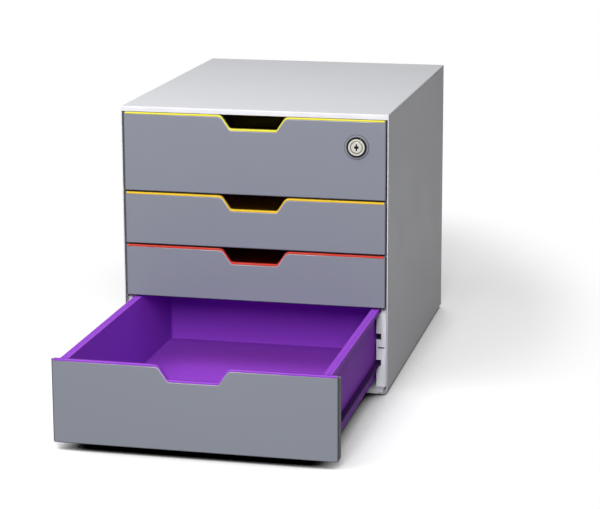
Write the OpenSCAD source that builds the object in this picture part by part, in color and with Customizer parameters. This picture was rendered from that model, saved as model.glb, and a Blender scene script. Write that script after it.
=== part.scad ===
// Desktop file drawer: a flat-sided case with four sliding drawers.
// Millimetres. The origin is the middle of the case's footprint on the desk.
// +X is to the right, -Y is the side the drawers open to, and +Z is up.

/* [Case] */
// Width of the case over its side panels
case_w = 280; // [250:1:360]
// Height of the case above the desk
case_h = 292; // [230:1:400]
// Depth of the case, which the closed fronts are flush with
case_d = 356; // [320:1:420]
// Thickness of the side panels
side_t = 1.4; // [1:0.1:2]
// Outside radius of the long lower edges
lower_edge_r = 4; // [3:0.5:6]
// Width of the side panels' flange under the base
side_flange_w = 9; // [7:0.5:12]
// Gap between the desk and the lower edge of the side panels
desk_gap = 1; // [0.5:0.5:2]
// Height of the top panel's front edge
top_edge_h = 5.5; // [4.5:0.5:8]
// Depth of the bar behind that edge
top_bar_d = 6; // [4:0.5:8]
// Thickness of the top panel
top_t = 2.5; // [2:0.5:3.5]
// Radius of the top panel's upper edges
top_edge_r = 1.2; // [0.5:0.1:2]
// Thickness of the back panel
back_t = 2.5; // [2:0.5:4]
// Depth of the shallow field in the back panel
back_field_d = 0.8; // [0.4:0.2:1.2]
// Width of the border round that field
back_border_w = 14; // [8:1:30]
// Height of the base panel's upper face above the desk
base_h = 6; // [5.5:0.5:8]
// Thickness of the base panel
base_t = 2; // [1.5:0.5:2.5]
// Inset of the rim that the case stands on
plinth_inset = 9.5; // [9.5:0.5:20]
// Width of that rim
plinth_w = 3; // [2:0.5:6]
// Thickness of the ribs under the panels
rib_t = 1.6; // [1:0.2:3]

/* [Feet] */
// Radius of a foot pad
foot_r = 8; // [5:0.5:10]
// Thickness of a foot pad
foot_t = 2; // [1:0.5:2.5]
// Wall round a foot pad
foot_wall_t = 2.4; // [1.5:0.1:4]
// Distance of a foot's centre from the case's sides
foot_from_side = 22; // [20:1:60]
// Distance of a foot's centre from the case's front and back
foot_from_end = 23; // [20:1:60]

/* [Runner frames] */
// Thickness of a runner frame
frame_t = 12; // [11:0.5:16]
// How far the frames stand behind the case's front edge
frame_setback = 10.4; // [10.4:0.2:14]
// Wall of a runner frame
frame_wall_t = 2; // [1.5:0.5:2.5]
// Number of bays between the cross ribs of a frame
frame_bays = 5; // [2:1:8]
// Height of a groove
groove_h = 6; // [5:0.5:8]
// Depth of a groove
groove_d = 5; // [4.5:0.5:7]
// Width of the snap slots in the frames' front face
snap_slot_w = 6.5; // [4:0.5:8]
// Height of those slots
snap_slot_h = 1.4; // [1:0.2:3]
// Height of a snap slot above the second unit's lower edge
snap_slot_rise = 13; // [8:1:16]
// Length of a stop block in a groove, and of the lug that meets it
stop_l = 8; // [4:1:14]

/* [Drawers] */
// Height of each drawer in units, from the top down
drawer_units = [3, 2, 2, 3]; // [2:1:4]
// How far each drawer stands open, from the top down
drawer_open = [0, 0, 0, 234]; // [0:1:250]
// How far a drawer slides before it meets its stops
drawer_travel = 250; // [150:1:260]
// Gap between the top panel and the top drawer
top_gap = 0.5; // [0.3:0.1:1]
// Gap under each drawer front
front_gap = 1.5; // [1:0.1:3]
// Gap at each end of a drawer front
front_side_gap = 0.5; // [0.3:0.1:1]
// Depth of a drawer front
front_d = 10; // [8:0.2:10]
// Thickness of a drawer front
front_t = 2; // [1.5:0.1:2.5]
// Depth under a front's top edge at which its side rims end
side_rim_drop = 3; // [2.2:0.2:6]
// Radius of a front's corners
front_corner_r = 2.5; // [1:0.5:4]
// Height of the coloured strip along a front's top edge
strip_h = 1.9; // [1.5:0.1:3]
// How far the strip stops short of the front's ends
strip_end_gap = 2.2; // [2.2:0.1:5]
// Width of the finger notch at its top
notch_top_w = 68; // [50:1:90]
// Width of the finger notch at its bottom
notch_bottom_w = 49; // [30:1:49]
// Depth of the finger notch
notch_depth = 14; // [8:0.5:18]
// Radius of the notch's upper corners
notch_upper_r = 6; // [5:0.5:8]
// Radius of the notch's lower corners
notch_lower_r = 3; // [1:0.5:5]

/* [Trays] */
// Thickness of a tray's walls
tray_wall_t = 2; // [1.5:0.1:2.5]
// Thickness of a tray's floor
tray_floor_t = 2; // [1.5:0.1:3]
// Height of a tray's underside above its drawer space's lower edge
tray_floor_rise = 6; // [4:0.5:10]
// Gap between a tray's side wall and the runner frame
tray_side_gap = 2; // [1.5:0.1:3]
// Gap between a closed tray's rim and the back panel
tray_back_gap = 1.5; // [1:0.5:10]
// Width of the rim along a tray's back
tray_back_rim_w = 4; // [2:0.5:8]
// Radius of a tray's inner corners
tray_corner_r = 4; // [2:0.5:8]
// Thickness of a tray's rim
rim_t = 2; // [1.5:0.1:2.5]
// Thickness of the lower rails
rail_t = 2.2; // [1.5:0.1:2.6]
// Width of the lower rails
rail_w = 5.8; // [4:0.2:7]
// Distance of the stop lugs from a tray's back wall
lug_setback = 12; // [4:1:40]
// Width of the tongues that hold a front on its tray
clip_w = 8; // [5:1:14]
// Thickness of a tongue
clip_t = 1.6; // [1:0.2:2.4]
// Height of a tongue's barb
clip_barb_h = 0.8; // [0.4:0.2:1.2]
// Length of a tongue's barb
clip_barb_l = 1.4; // [1:0.2:3]
// Distance of the tongues from the drawer's middle
clip_x = 70; // [60:1:75]
// Height of the lower tongues above the drawer space's lower edge
clip_low_rise = 18; // [12:1:22]
// Depth of the upper tongues below the drawer space's top
clip_high_drop = 24; // [20:1:26]

/* [Lock] */
// Distance of the lock's axis from the case's side
lock_from_side = 32.5; // [32:0.5:50]
// Depth of the lock's axis below the drawer space's top
lock_drop = 28; // [24:0.5:36]
// Radius of the raised ring round the lock
lock_ring_r = 12.6; // [11.5:0.1:15]
// Height of that ring
lock_ring_h = 0.6; // [0.2:0.1:2]
// Radius of the barrel's head
lock_head_r = 10.4; // [10.3:0.1:11]
// Thickness of the barrel's head
lock_head_t = 1.4; // [1:0.1:3]
// Radius of the barrel
lock_barrel_r = 8.6; // [8:0.1:9]
// Radius of the plug
lock_plug_r = 5.7; // [5:0.1:6.5]
// Radius of the groove in the barrel's face
lock_groove_r = 10; // [9:0.1:10.1]
// Width of that groove
lock_groove_w = 1.3; // [0.5:0.1:1.5]
// Depth of that groove
lock_groove_d = 0.9; // [0.3:0.1:1]
// Width of the keyway
keyway_w = 1.5; // [1:0.1:2.5]
// Height of the keyway
keyway_h = 7; // [4:0.5:8]
// Depth of the keyway
keyway_d = 12; // [8:0.5:14]
// Width of the keyway's side wards
keyway_ward_w = 4.6; // [3:0.2:5]
// Height of the side wards
keyway_ward_h = 2.4; // [1:0.2:3]
// Radius of the washer
washer_r = 12; // [11:0.5:13]
// Thickness of the washer
washer_t = 1; // [0.5:0.1:1.5]
// Width of the nut across its flats
nut_w = 21; // [19:0.5:23]
// Thickness of the nut
nut_t = 4.5; // [3:0.5:6]
// How far the barrel stands out of the nut
barrel_end_l = 8; // [5:0.5:12]
// Width of the square that the cam sits on
cam_square_w = 6.4; // [5:0.2:7]
// Radius of the cam's hub
cam_hub_r = 7; // [6:0.5:8]
// Width of the cam's arm
cam_arm_w = 9; // [6:0.5:12]
// Thickness of the cam
cam_t = 2; // [1.5:0.1:3]
// Gap between the cam's tip and the top of the drawer space, when locked
cam_tip_gap = 1.5; // [1:0.1:2.5]
// Radius of the cam screw's head
cam_screw_head_r = 4.4; // [4:0.2:6]
// Thickness of the cam screw's head
cam_screw_head_t = 2.2; // [1.5:0.1:3]
// Radius of the cam screw's shank
cam_screw_r = 1.8; // [1.5:0.1:2]
// Length of the cam screw's shank
cam_screw_l = 6; // [4:0.5:8]
// Width of the strike plate
strike_w = 24; // [20:1:30]
// Thickness of the strike plate
strike_t = 1.5; // [1:0.1:2]
// Depth of the strike's flange
strike_flange_d = 11; // [9:0.5:11]
// How far the strike reaches into the drawer space
strike_reach = 5.5; // [4:0.5:8]
// Distance between the strike's screws
strike_screw_gap = 14; // [10:1:16]
// Radius of the strike screws' heads
strike_head_r = 2.6; // [2:0.1:3]
// Thickness of the strike screws' heads
strike_head_t = 1.2; // [0.8:0.1:1.2]
// Radius of the strike screws' shanks
strike_screw_r = 1.2; // [1:0.1:1.6]

/* [Fits] */
// Running gap above and below a rim or a rail in its groove
run_gap = 0.3; // [0.2:0.1:0.5]
// Running gap at the side of a rim in its groove
rim_side_gap = 1; // [0.3:0.1:1.2]
// Gap between a lug and its stop block at full travel
stop_gap = 0.2; // [0.1:0.1:1]
// Gap over a rail where it passes under a stop block
stop_over_gap = 0.7; // [0.4:0.1:1]
// Fit of the panels and clips in each other
panel_fit = 0.1; // [0.05:0.05:0.2]
// Fit of a tongue in its slot
clip_fit = 0.3; // [0.2:0.1:0.4]
// Fit of screws and of the barrel in their holes
hole_fit = 0.1; // [0.05:0.05:0.2]
// Running fit of the plug in the barrel
plug_fit = 0.05; // [0.02:0.01:0.1]
// Gap between the barrel's end and the cam
cam_gap = 0.3; // [0.2:0.1:0.6]
// Gap between the turned cam and the strike
strike_gap = 0.4; // [0.3:0.1:1]

/* [Hidden] */
$fn = 64;
// Number of straight steps in each rounded corner of an outline
arc_steps = 6;
// How far a cut runs past the faces that it opens
over = 1;

// Colours
case_grey = [0.80, 0.80, 0.82];
front_grey = [0.54, 0.56, 0.60];
tray_colours = [[0.98, 0.94, 0.35], [0.98, 0.82, 0.16], [0.88, 0.25, 0.16], [0.45, 0.16, 0.72]];
pad_grey = [0.2, 0.2, 0.2];
nickel = [0.80, 0.79, 0.74];
steel = [0.62, 0.62, 0.63];

// Faces of the case
half_w = case_w / 2;
half_d = case_d / 2;
side_in = half_w - side_t;
back_in = half_d - back_t;
top_under = case_h - top_edge_h;
top_plate_under = case_h - top_t;
// Inside the top plate, where the bars and ribs under it end
top_root = top_plate_under + (top_t - top_edge_r) / 2;
lower_edge_in_r = lower_edge_r - side_t;
flange_in = half_w - side_flange_w;
base_half_w = half_w - lower_edge_r - panel_fit;
plinth_half_w = half_w - plinth_inset;
plinth_half_d = half_d - plinth_inset;
skirt_t = frame_wall_t;

// Drawer spaces, counted from the top down
spaces_top = top_under - top_gap;
unit_h = (spaces_top - base_h) / units_above(len(drawer_units));
function units_above(n) = n == 0 ? 0 : units_above(n - 1) + drawer_units[n - 1];
function space_top(n) = spaces_top - units_above(n) * unit_h;
function space_low(n) = spaces_top - units_above(n + 1) * unit_h;

// Runner frames
frame_in = side_in - frame_t;
frame_front = frame_setback - half_d;
groove_out = frame_in + groove_d;
bay_l = (back_in - frame_front - frame_wall_t) / frame_bays;

// Drawer fronts and trays
front_half_w = side_in - front_side_gap;
front_back = front_d - half_d;
strip_half_w = front_half_w - strip_end_gap;
tray_half_w = frame_in - tray_side_gap;
tray_in = tray_half_w - tray_wall_t;
tray_back = back_in - tray_back_gap - tray_back_rim_w;
tray_front = front_t - half_d + panel_fit;
tray_front_in = tray_front + tray_wall_t;
tray_outer_r = tray_corner_r + tray_wall_t;
rim_half_w = groove_out - rim_side_gap;
lug_front = tray_back - lug_setback - stop_l;

// Lock
lock_x = half_w - lock_from_side;
lock_z = space_top(0) - lock_drop;
lock_ring_face = -half_d - lock_ring_h;
lock_face = lock_ring_face - lock_head_t;
nut_front = tray_front_in + washer_t;
barrel_end = nut_front + nut_t + barrel_end_l;
cam_front = barrel_end + cam_gap;
cam_l = lock_drop - cam_tip_gap;
strike_back = cam_front - strike_gap;
strike_screw_y = strike_back - strike_t - (strike_flange_d - strike_t) / 2;
strike_screw_l = strike_t + top_t / 2;

// Points of the arc that rounds corner b between a and c
function corner(a, b, c, r) =
    r <= 0 ? [b] :
    let(
        u = (a - b) / norm(a - b),
        v = (c - b) / norm(c - b),
        half = acos(u * v) / 2,
        centre = b + (u + v) / norm(u + v) * r / sin(half),
        start = b + u * r / tan(half) - centre,
        from = atan2(start.y, start.x),
        turn = -sign(cross(u, v)) * (180 - 2 * half) / arc_steps
    )
    [for (i = [0:arc_steps]) centre + r * [cos(from + i * turn), sin(from + i * turn)]];

// A closed outline with a radius at each of its corners
function rounded(points, radii) =
    let(n = len(points))
    [for (i = [0:n - 1]) each corner(points[(i + n - 1) % n], points[i], points[(i + 1) % n], radii[i])];

// A box outline with one radius at its two low corners and another at its two high ones
function box_outline(low, high, low_r, high_r) =
    rounded([low, [high.x, low.y], high, [low.x, high.y]], [low_r, low_r, high_r, high_r]);

// A front's top edge at height top with its finger notch, from right to left
function notch_edge(half, top) =
    let(
        wide = notch_top_w / 2,
        narrow = notch_bottom_w / 2,
        deep = top - notch_depth,
        line = [[half, top], [wide, top], [narrow, deep], [-narrow, deep], [-wide, top], [-half, top]]
    )
    concat(
        [line[0]],
        corner(line[0], line[1], line[2], notch_upper_r),
        corner(line[1], line[2], line[3], notch_lower_r),
        corner(line[2], line[3], line[4], notch_lower_r),
        corner(line[3], line[4], line[5], notch_upper_r),
        [line[5]]
    );

module block(low, high) {
    translate(low)
        cube(high - low);
}

// Extrudes an outline of x and z from y0 to y1
module along_y(y0, y1) {
    translate([0, y1, 0])
        rotate([90, 0, 0])
            linear_extrude(y1 - y0)
                children();
}

// Extrudes an outline of y and z from x0 to x1
module along_x(x0, x1) {
    translate([x0, 0, 0])
        rotate([90, 0, 90])
            linear_extrude(x1 - x0)
                children();
}

// Extrudes an outline of x and y from z0 to z1
module along_z(z0, z1) {
    translate([0, 0, z0])
        linear_extrude(z1 - z0)
            children();
}

module both_sides() {
    children();
    mirror([1, 0, 0])
        children();
}

// A round bar on the lock's axis from y0 to y1
module lock_round(r, y0, y1) {
    translate([lock_x, y0, lock_z])
        rotate([-90, 0, 0])
            cylinder(h = y1 - y0, r = r);
}

// Top panel: a plate with a deeper front edge, skirts between the side panels, and ribs
module top_panel() {
    color(case_grey)
        difference() {
            union() {
                intersection() {
                    along_y(-half_d, half_d)
                        polygon(box_outline([-half_w, top_plate_under], [half_w, case_h], 0, top_edge_r));
                    along_x(-half_w, half_w)
                        polygon(box_outline([-half_d, top_plate_under], [half_d, case_h], 0, top_edge_r));
                }
                block([-half_w, -half_d, top_under], [half_w, top_bar_d - half_d, top_root]);
                both_sides()
                    block(
                        [side_in - panel_fit - skirt_t, top_bar_d - half_d, top_under],
                        [side_in - panel_fit, back_in - panel_fit, top_root]
                    );
                block(
                    [panel_fit - side_in, back_in - panel_fit - skirt_t, top_under],
                    [side_in - panel_fit, back_in - panel_fit, top_root]
                );
                top_ribs();
            }
            for (x = strike_screw_places())
                translate([x, strike_screw_y, top_plate_under - over])
                    cylinder(h = strike_screw_l - strike_t + over + hole_fit, r = strike_screw_r + hole_fit);
        }
}

// Ribs under the top panel: lengthwise at the thirds, crosswise at the quarters
module top_ribs() {
    rib_low = top_under + (top_plate_under - top_under) / 3;
    both_sides()
        block([half_w / 3, -half_d, rib_low], [half_w / 3 + rib_t, back_in - panel_fit, top_root]);
    for (i = [1:3])
        translate([0, i * case_d / 4 - half_d, 0])
            block([panel_fit - side_in, 0, rib_low], [side_in - panel_fit, rib_t, top_root]);
}

// Base panel: a plate with a front and a back bar, ribs, and the rim it stands on
module base_panel() {
    plate_under = base_h - base_t;
    seat = desk_gap + side_t;
    color(case_grey)
        difference() {
            union() {
                block([-base_half_w, -half_d, plate_under], [base_half_w, half_d, base_h]);
                mirrored_ends()
                    block([-base_half_w, -half_d, seat], [base_half_w, skirt_t - half_d, plate_under]);
                mirrored_ends()
                    block(
                        [panel_fit - flange_in, -half_d, desk_gap],
                        [flange_in - panel_fit, skirt_t - half_d, plate_under]
                    );
                both_sides()
                    block([flange_in, -half_d, seat], [base_half_w, half_d, plate_under]);
                plinth();
                base_ribs();
                foot_places()
                    cylinder(h = plate_under, r = foot_r + foot_wall_t);
            }
            foot_places()
                translate([0, 0, -over])
                    cylinder(h = foot_t + over, r = foot_r + hole_fit);
        }
}

// The rim round the base that touches the desk
module plinth() {
    rim_out = [plinth_half_w, plinth_half_d];
    rim_in = [plinth_half_w - plinth_w, plinth_half_d - plinth_w];
    along_z(0, base_h - base_t)
        difference() {
            polygon(box_outline(-rim_out, rim_out, plinth_w, plinth_w));
            polygon(box_outline(-rim_in, rim_in, 0, 0));
        }
}

// Ribs under the base: lengthwise at the thirds, crosswise at the quarters
module base_ribs() {
    rib_low = desk_gap;
    rib_high = base_h - base_t;
    both_sides()
        block([half_w / 3, -plinth_half_d, rib_low], [half_w / 3 + rib_t, plinth_half_d, rib_high]);
    for (i = [1:3])
        translate([0, i * case_d / 4 - half_d, 0])
            block([-plinth_half_w, 0, rib_low], [plinth_half_w, rib_t, rib_high]);
}

module mirrored_ends() {
    children();
    mirror([0, 1, 0])
        children();
}

module foot_places() {
    both_sides()
        mirrored_ends()
            translate([half_w - foot_from_side, foot_from_end - half_d, 0])
                children();
}

// Foot pad: a round pad that sits in the base, at the side sx and the end sy
module foot(sx, sy) {
    color(pad_grey)
        translate([sx * (half_w - foot_from_side), sy * (half_d - foot_from_end), 0])
            cylinder(h = foot_t, r = foot_r);
}

// Side panel: a thin wall that turns in under the base
module side_panel() {
    flange_top = desk_gap + side_t;
    color(case_grey)
        difference() {
            along_y(-half_d, half_d)
                polygon(
                    rounded(
                        [
                            [half_w, top_plate_under], [side_in, top_plate_under], [side_in, flange_top],
                            [flange_in, flange_top], [flange_in, desk_gap], [half_w, desk_gap]
                        ],
                        [0, 0, lower_edge_in_r, 0, 0, lower_edge_r]
                    )
                );
            block(
                [flange_in, -half_d - over, top_under],
                [half_w + over, top_bar_d - half_d, top_plate_under + over]
            );
        }
}

// Back panel: a plate between the side panels with a shallow field in its outer face
module back_panel() {
    edge = side_in - panel_fit;
    color(case_grey)
        difference() {
            block([-edge, back_in, base_h], [edge, half_d, top_plate_under]);
            block(
                [back_border_w - edge, half_d - back_field_d, base_h + back_border_w],
                [edge - back_border_w, half_d + over, top_plate_under - back_border_w]
            );
        }
}

// Runner frame: a folded wall with a groove at the top of every unit
module runner_frame() {
    color(case_grey)
        union() {
            difference() {
                block([frame_in, frame_front, base_h], [side_in, back_in, top_under]);
                for (k = [0:units_above(len(drawer_units)) - 1])
                    frame_unit_cuts(base_h + k * unit_h);
                for (n = [0:len(drawer_units) - 1])
                    snap_slot(space_low(n) + unit_h + snap_slot_rise);
            }
            for (n = [0:len(drawer_units) - 1])
                stop_block(space_low(n) + unit_h);
        }
}

// The groove of one unit and the hollows behind it, for a unit whose lower edge is at z
module frame_unit_cuts(z) {
    groove_low = z + unit_h - groove_h;
    block([frame_in - over, frame_front - over, groove_low], [groove_out, back_in + over, z + unit_h]);
    for (i = [0:frame_bays - 1])
        translate([0, frame_front + frame_wall_t + i * bay_l, 0]) {
            block(
                [frame_in + frame_wall_t, 0, z + frame_wall_t],
                [side_in + over, bay_l - frame_wall_t, groove_low - frame_wall_t]
            );
            block(
                [groove_out + frame_wall_t, 0, groove_low],
                [side_in + over, bay_l - frame_wall_t, z + unit_h]
            );
        }
}

// A short level slot through the front wall of a frame, centred at height z
module snap_slot(z) {
    middle = (frame_in + side_in - frame_wall_t) / 2;
    block(
        [middle - snap_slot_w / 2, frame_front - over, z - snap_slot_h / 2],
        [middle + snap_slot_w / 2, frame_front + frame_wall_t + over, z + snap_slot_h / 2]
    );
}

// A block in the groove that ends at height z, which lets the rail pass under it and stops the lug
module stop_block(z) {
    block_back = lug_front - drawer_travel - stop_gap;
    block(
        [frame_in, block_back - stop_l, z - groove_h + run_gap + rail_t + stop_over_gap],
        [groove_out, block_back, z]
    );
}

// Drawer tray: the coloured tub of drawer n, with its rims, rails, lugs and top strip
module tray(n) {
    top = space_top(n);
    low = space_low(n);
    floor_under = low + tray_floor_rise;
    rim_top = top - run_gap;
    color(tray_colours[n])
        translate([0, -drawer_open[n], 0])
            difference() {
                union() {
                    tub(floor_under, rim_top);
                    tray_front_wall(low, top);
                    tray_rim(rim_top);
                    both_sides()
                        tray_rail(low + unit_h - groove_h + run_gap, low + unit_h - run_gap);
                }
                above_notch(notch_top_w, top, top + over, tray_front - over, tray_front_in + over);
                for (z = [low + clip_low_rise, top - clip_high_drop])
                    both_sides()
                        clip_slot(z);
                if (n == 0)
                    lock_round(lock_barrel_r + hole_fit, tray_front - over, tray_front_in + over);
            }
}

// All that lies above a notched edge at height top, up to z1 and from y0 to y1
module above_notch(half, top, z1, y0, y1) {
    along_y(y0, y1)
        polygon(concat([[-half, z1], [half, z1]], notch_edge(half, top)));
}

// The tub's walls and floor
module tub(low, top) {
    difference() {
        along_z(low, top)
            polygon(box_outline([-tray_half_w, tray_front], [tray_half_w, tray_back], 0, tray_outer_r));
        along_z(low + tray_floor_t, top + over)
            polygon(tray_inside(tray_front_in));
    }
}

// The outline of the tray's inside, from y0 back
function tray_inside(y0) = box_outline([-tray_in, y0], [tray_in, tray_back - tray_wall_t], 0, tray_corner_r);

// The wall behind the drawer front, and the strip that caps the front along the notch
module tray_front_wall(low, top) {
    wall_low = low + front_gap + front_t + panel_fit;
    along_y(tray_front, tray_front_in)
        polygon(
            concat([[-strip_half_w, wall_low], [strip_half_w, wall_low]], notch_edge(strip_half_w, top))
        );
    along_y(-half_d, tray_front_in)
        polygon(concat(notch_edge(strip_half_w, top), reversed(notch_edge(strip_half_w, top - strip_h))));
}

function reversed(list) = [for (i = [len(list) - 1:-1:0]) list[i]];

// The level rim round the tray and the lip that runs in the top groove
module tray_rim(top) {
    rim_back = tray_back + tray_back_rim_w;
    along_z(top - rim_t, top)
        difference() {
            polygon(box_outline([-rim_half_w, tray_front_in], [rim_half_w, rim_back], 0, tray_outer_r));
            polygon(tray_inside(tray_front));
        }
    both_sides()
        block(
            [rim_half_w - rim_t, tray_front, top - groove_h + 2 * run_gap],
            [rim_half_w, tray_back - tray_outer_r, top]
        );
}

// The rail on the tray's right side, with the lug that meets the stop block
module tray_rail(low, groove_top) {
    rail_in = tray_half_w - tray_wall_t / 2;
    rail_out = tray_half_w + rail_w;
    block([rail_in, tray_front, low], [rail_out, tray_back - tray_corner_r, low + rail_t]);
    block([rail_in, lug_front, low], [rail_out, lug_front + stop_l, groove_top]);
}

// A slot in the tray's front wall for the tongue at height z
module clip_slot(z) {
    block(
        [clip_x - clip_w / 2 - clip_fit, tray_front - over, z - clip_t / 2 - clip_fit],
        [clip_x + clip_w / 2 + clip_fit, tray_front_in + over, z + clip_t / 2 + clip_barb_h + clip_fit]
    );
}

// Drawer front: the grey shell of drawer n, clipped on its tray under the coloured strip
module front(n) {
    top = space_top(n);
    low = space_low(n);
    face_low = low + front_gap;
    cover_half_w = strip_half_w + panel_fit;
    rim_in = front_half_w - front_t;
    color(front_grey)
        translate([0, -drawer_open[n], 0])
            difference() {
                union() {
                    difference() {
                        along_y(-half_d, front_back)
                            polygon(
                                box_outline(
                                    [-front_half_w, face_low], [front_half_w, top],
                                    front_corner_r, front_t / 2
                                )
                            );
                        above_notch(
                            cover_half_w, top - strip_h - 2 * panel_fit, top + over,
                            -half_d - over, front_t - half_d + over
                        );
                        block(
                            [-rim_in, front_t - half_d, face_low + front_t],
                            [rim_in, front_back + over, top + over]
                        );
                        block(
                            [-front_half_w - over, front_t - half_d, top - side_rim_drop],
                            [front_half_w + over, front_back + over, top + over]
                        );
                    }
                    for (z = [low + clip_low_rise, top - clip_high_drop])
                        both_sides()
                            clip_tongue(z);
                    if (n == 0)
                        lock_round(lock_ring_r, lock_ring_face, front_t - half_d);
                }
                if (n == 0)
                    lock_round(lock_barrel_r + hole_fit, lock_ring_face - over, tray_front);
            }
}

// A tongue behind the front at height z, with its barb behind the tray's wall
module clip_tongue(z) {
    barb_front = tray_front_in + panel_fit;
    block(
        [clip_x - clip_w / 2, front_t / 2 - half_d, z - clip_t / 2],
        [clip_x + clip_w / 2, barb_front + clip_barb_l, z + clip_t / 2]
    );
    block(
        [clip_x - clip_w / 2, barb_front, z],
        [clip_x + clip_w / 2, barb_front + clip_barb_l, z + clip_t / 2 + clip_barb_h]
    );
}

// Lock barrel: a headed sleeve with a ring groove in its face
module lock_barrel() {
    color(nickel)
        difference() {
            union() {
                lock_round(lock_head_r, lock_face, lock_ring_face);
                lock_round(lock_barrel_r, lock_face, barrel_end);
            }
            difference() {
                lock_round(lock_groove_r, lock_face - over, lock_face + lock_groove_d);
                lock_round(lock_groove_r - lock_groove_w, lock_face - 2 * over, lock_face + 2 * over);
            }
            lock_round(lock_plug_r + plug_fit, lock_face - over, barrel_end + over);
        }
}

// Washer between the tray's wall and the nut
module lock_washer() {
    color(steel)
        difference() {
            lock_round(washer_r, tray_front_in, nut_front);
            lock_round(lock_barrel_r + hole_fit, tray_front, nut_front + over);
        }
}

// Nut that holds the barrel
module lock_nut() {
    color(nickel)
        difference() {
            translate([lock_x, nut_front, lock_z])
                rotate([-90, 0, 0])
                    cylinder(h = nut_t, r = nut_w / sqrt(3), $fn = 6);
            lock_round(lock_barrel_r + plug_fit, nut_front - over, nut_front + nut_t + over);
        }
}

// Lock plug: the turning core, with its keyway and the square that carries the cam
module lock_plug() {
    square_back = cam_front + cam_t - panel_fit;
    color(nickel)
        difference() {
            union() {
                lock_round(lock_plug_r, lock_face, cam_front);
                lock_box(cam_square_w, cam_square_w, cam_front - over, square_back);
            }
            lock_box(keyway_w, keyway_h, lock_face - over, lock_face + keyway_d);
            lock_box(keyway_ward_w, keyway_ward_h, lock_face - over, lock_face + keyway_d);
            lock_round(cam_screw_r + hole_fit, square_back - cam_screw_l, square_back + over);
        }
}

// A bar w wide and h high on the lock's axis from y0 to y1
module lock_box(w, h, y0, y1) {
    block([lock_x - w / 2, y0, lock_z - h / 2], [lock_x + w / 2, y1, lock_z + h / 2]);
}

// Lock cam: an arm that lies level when unlocked and stands behind the strike when locked
module lock_cam() {
    tip_r = cam_arm_w / 4;
    hole_w = cam_square_w + 2 * hole_fit;
    color(steel)
        difference() {
            union() {
                lock_round(cam_hub_r, cam_front, cam_front + cam_t);
                along_y(cam_front, cam_front + cam_t)
                    translate([lock_x, lock_z])
                        polygon(
                            rounded(
                                [
                                    [0, -cam_arm_w / 2], [0, cam_arm_w / 2],
                                    [-cam_l, cam_arm_w / 2], [-cam_l, -cam_arm_w / 2]
                                ],
                                [0, 0, tip_r, tip_r]
                            )
                        );
            }
            lock_box(hole_w, hole_w, cam_front - over, cam_front + cam_t + over);
        }
}

// Screw that holds the cam on the plug
module cam_screw() {
    head_front = cam_front + cam_t;
    slot_w = cam_screw_head_t / 2;
    color(steel)
        difference() {
            union() {
                lock_round(cam_screw_head_r, head_front, head_front + cam_screw_head_t);
                lock_round(cam_screw_r, head_front - cam_screw_l, head_front + cam_screw_head_t);
            }
            lock_box(
                2 * cam_screw_head_r + over, slot_w,
                head_front + cam_screw_head_t / 2, head_front + cam_screw_head_t + over
            );
        }
}

function strike_screw_places() = [lock_x - strike_screw_gap / 2, lock_x + strike_screw_gap / 2];

// Strike plate: an angle under the top panel whose lip the turned cam stands behind
module strike_plate() {
    strike_left = lock_x - strike_w / 2;
    color(steel)
        difference() {
            union() {
                block(
                    [strike_left, strike_back - strike_flange_d, top_plate_under - strike_t],
                    [strike_left + strike_w, strike_back, top_plate_under]
                );
                block(
                    [strike_left, strike_back - strike_t, space_top(0) - strike_reach],
                    [strike_left + strike_w, strike_back, top_plate_under]
                );
            }
            for (x = strike_screw_places())
                translate([x, strike_screw_y, top_plate_under - strike_t - over])
                    cylinder(h = strike_t + 2 * over, r = strike_screw_r + hole_fit);
        }
}

// The two screws that hold the strike plate
module strike_screws() {
    seat = top_plate_under - strike_t;
    color(steel)
        for (x = strike_screw_places())
            translate([x, strike_screw_y, seat]) {
                cylinder(h = strike_screw_l, r = strike_screw_r);
                translate([0, 0, -strike_head_t])
                    cylinder(h = strike_head_t, r = strike_head_r);
            }
}

top_panel();
base_panel();
mirror([1, 0, 0]) side_panel();  // left_side_panel
side_panel();  // right_side_panel
back_panel();
mirror([1, 0, 0]) runner_frame();  // left_runner_frame
runner_frame();  // right_runner_frame
foot(-1, -1);  // front_left_foot
foot(1, -1);  // front_right_foot
foot(-1, 1);  // back_left_foot
foot(1, 1);  // back_right_foot
strike_plate();
strike_screws();
tray(0);  // top_drawer_tray
front(0);  // top_drawer_front
tray(1);  // upper_drawer_tray
front(1);  // upper_drawer_front
tray(2);  // lower_drawer_tray
front(2);  // lower_drawer_front
tray(3);  // bottom_drawer_tray
front(3);  // bottom_drawer_front
lock_barrel();
lock_washer();
lock_nut();
lock_plug();
lock_cam();
cam_screw();
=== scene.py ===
"""Looks of the desktop file drawer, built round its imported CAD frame.

Sizes in the classes are in millimetres, in the frame of the CAD model: +X to the right,
-Y towards the side that the drawers open to, +Z up, with the origin on the desk.
"""

import logging
import math
from dataclasses import dataclass
from enum import Enum
from typing import Callable, Iterable, Mapping, Sequence

import bmesh
import bpy
from mathutils import Matrix, Vector

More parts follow.
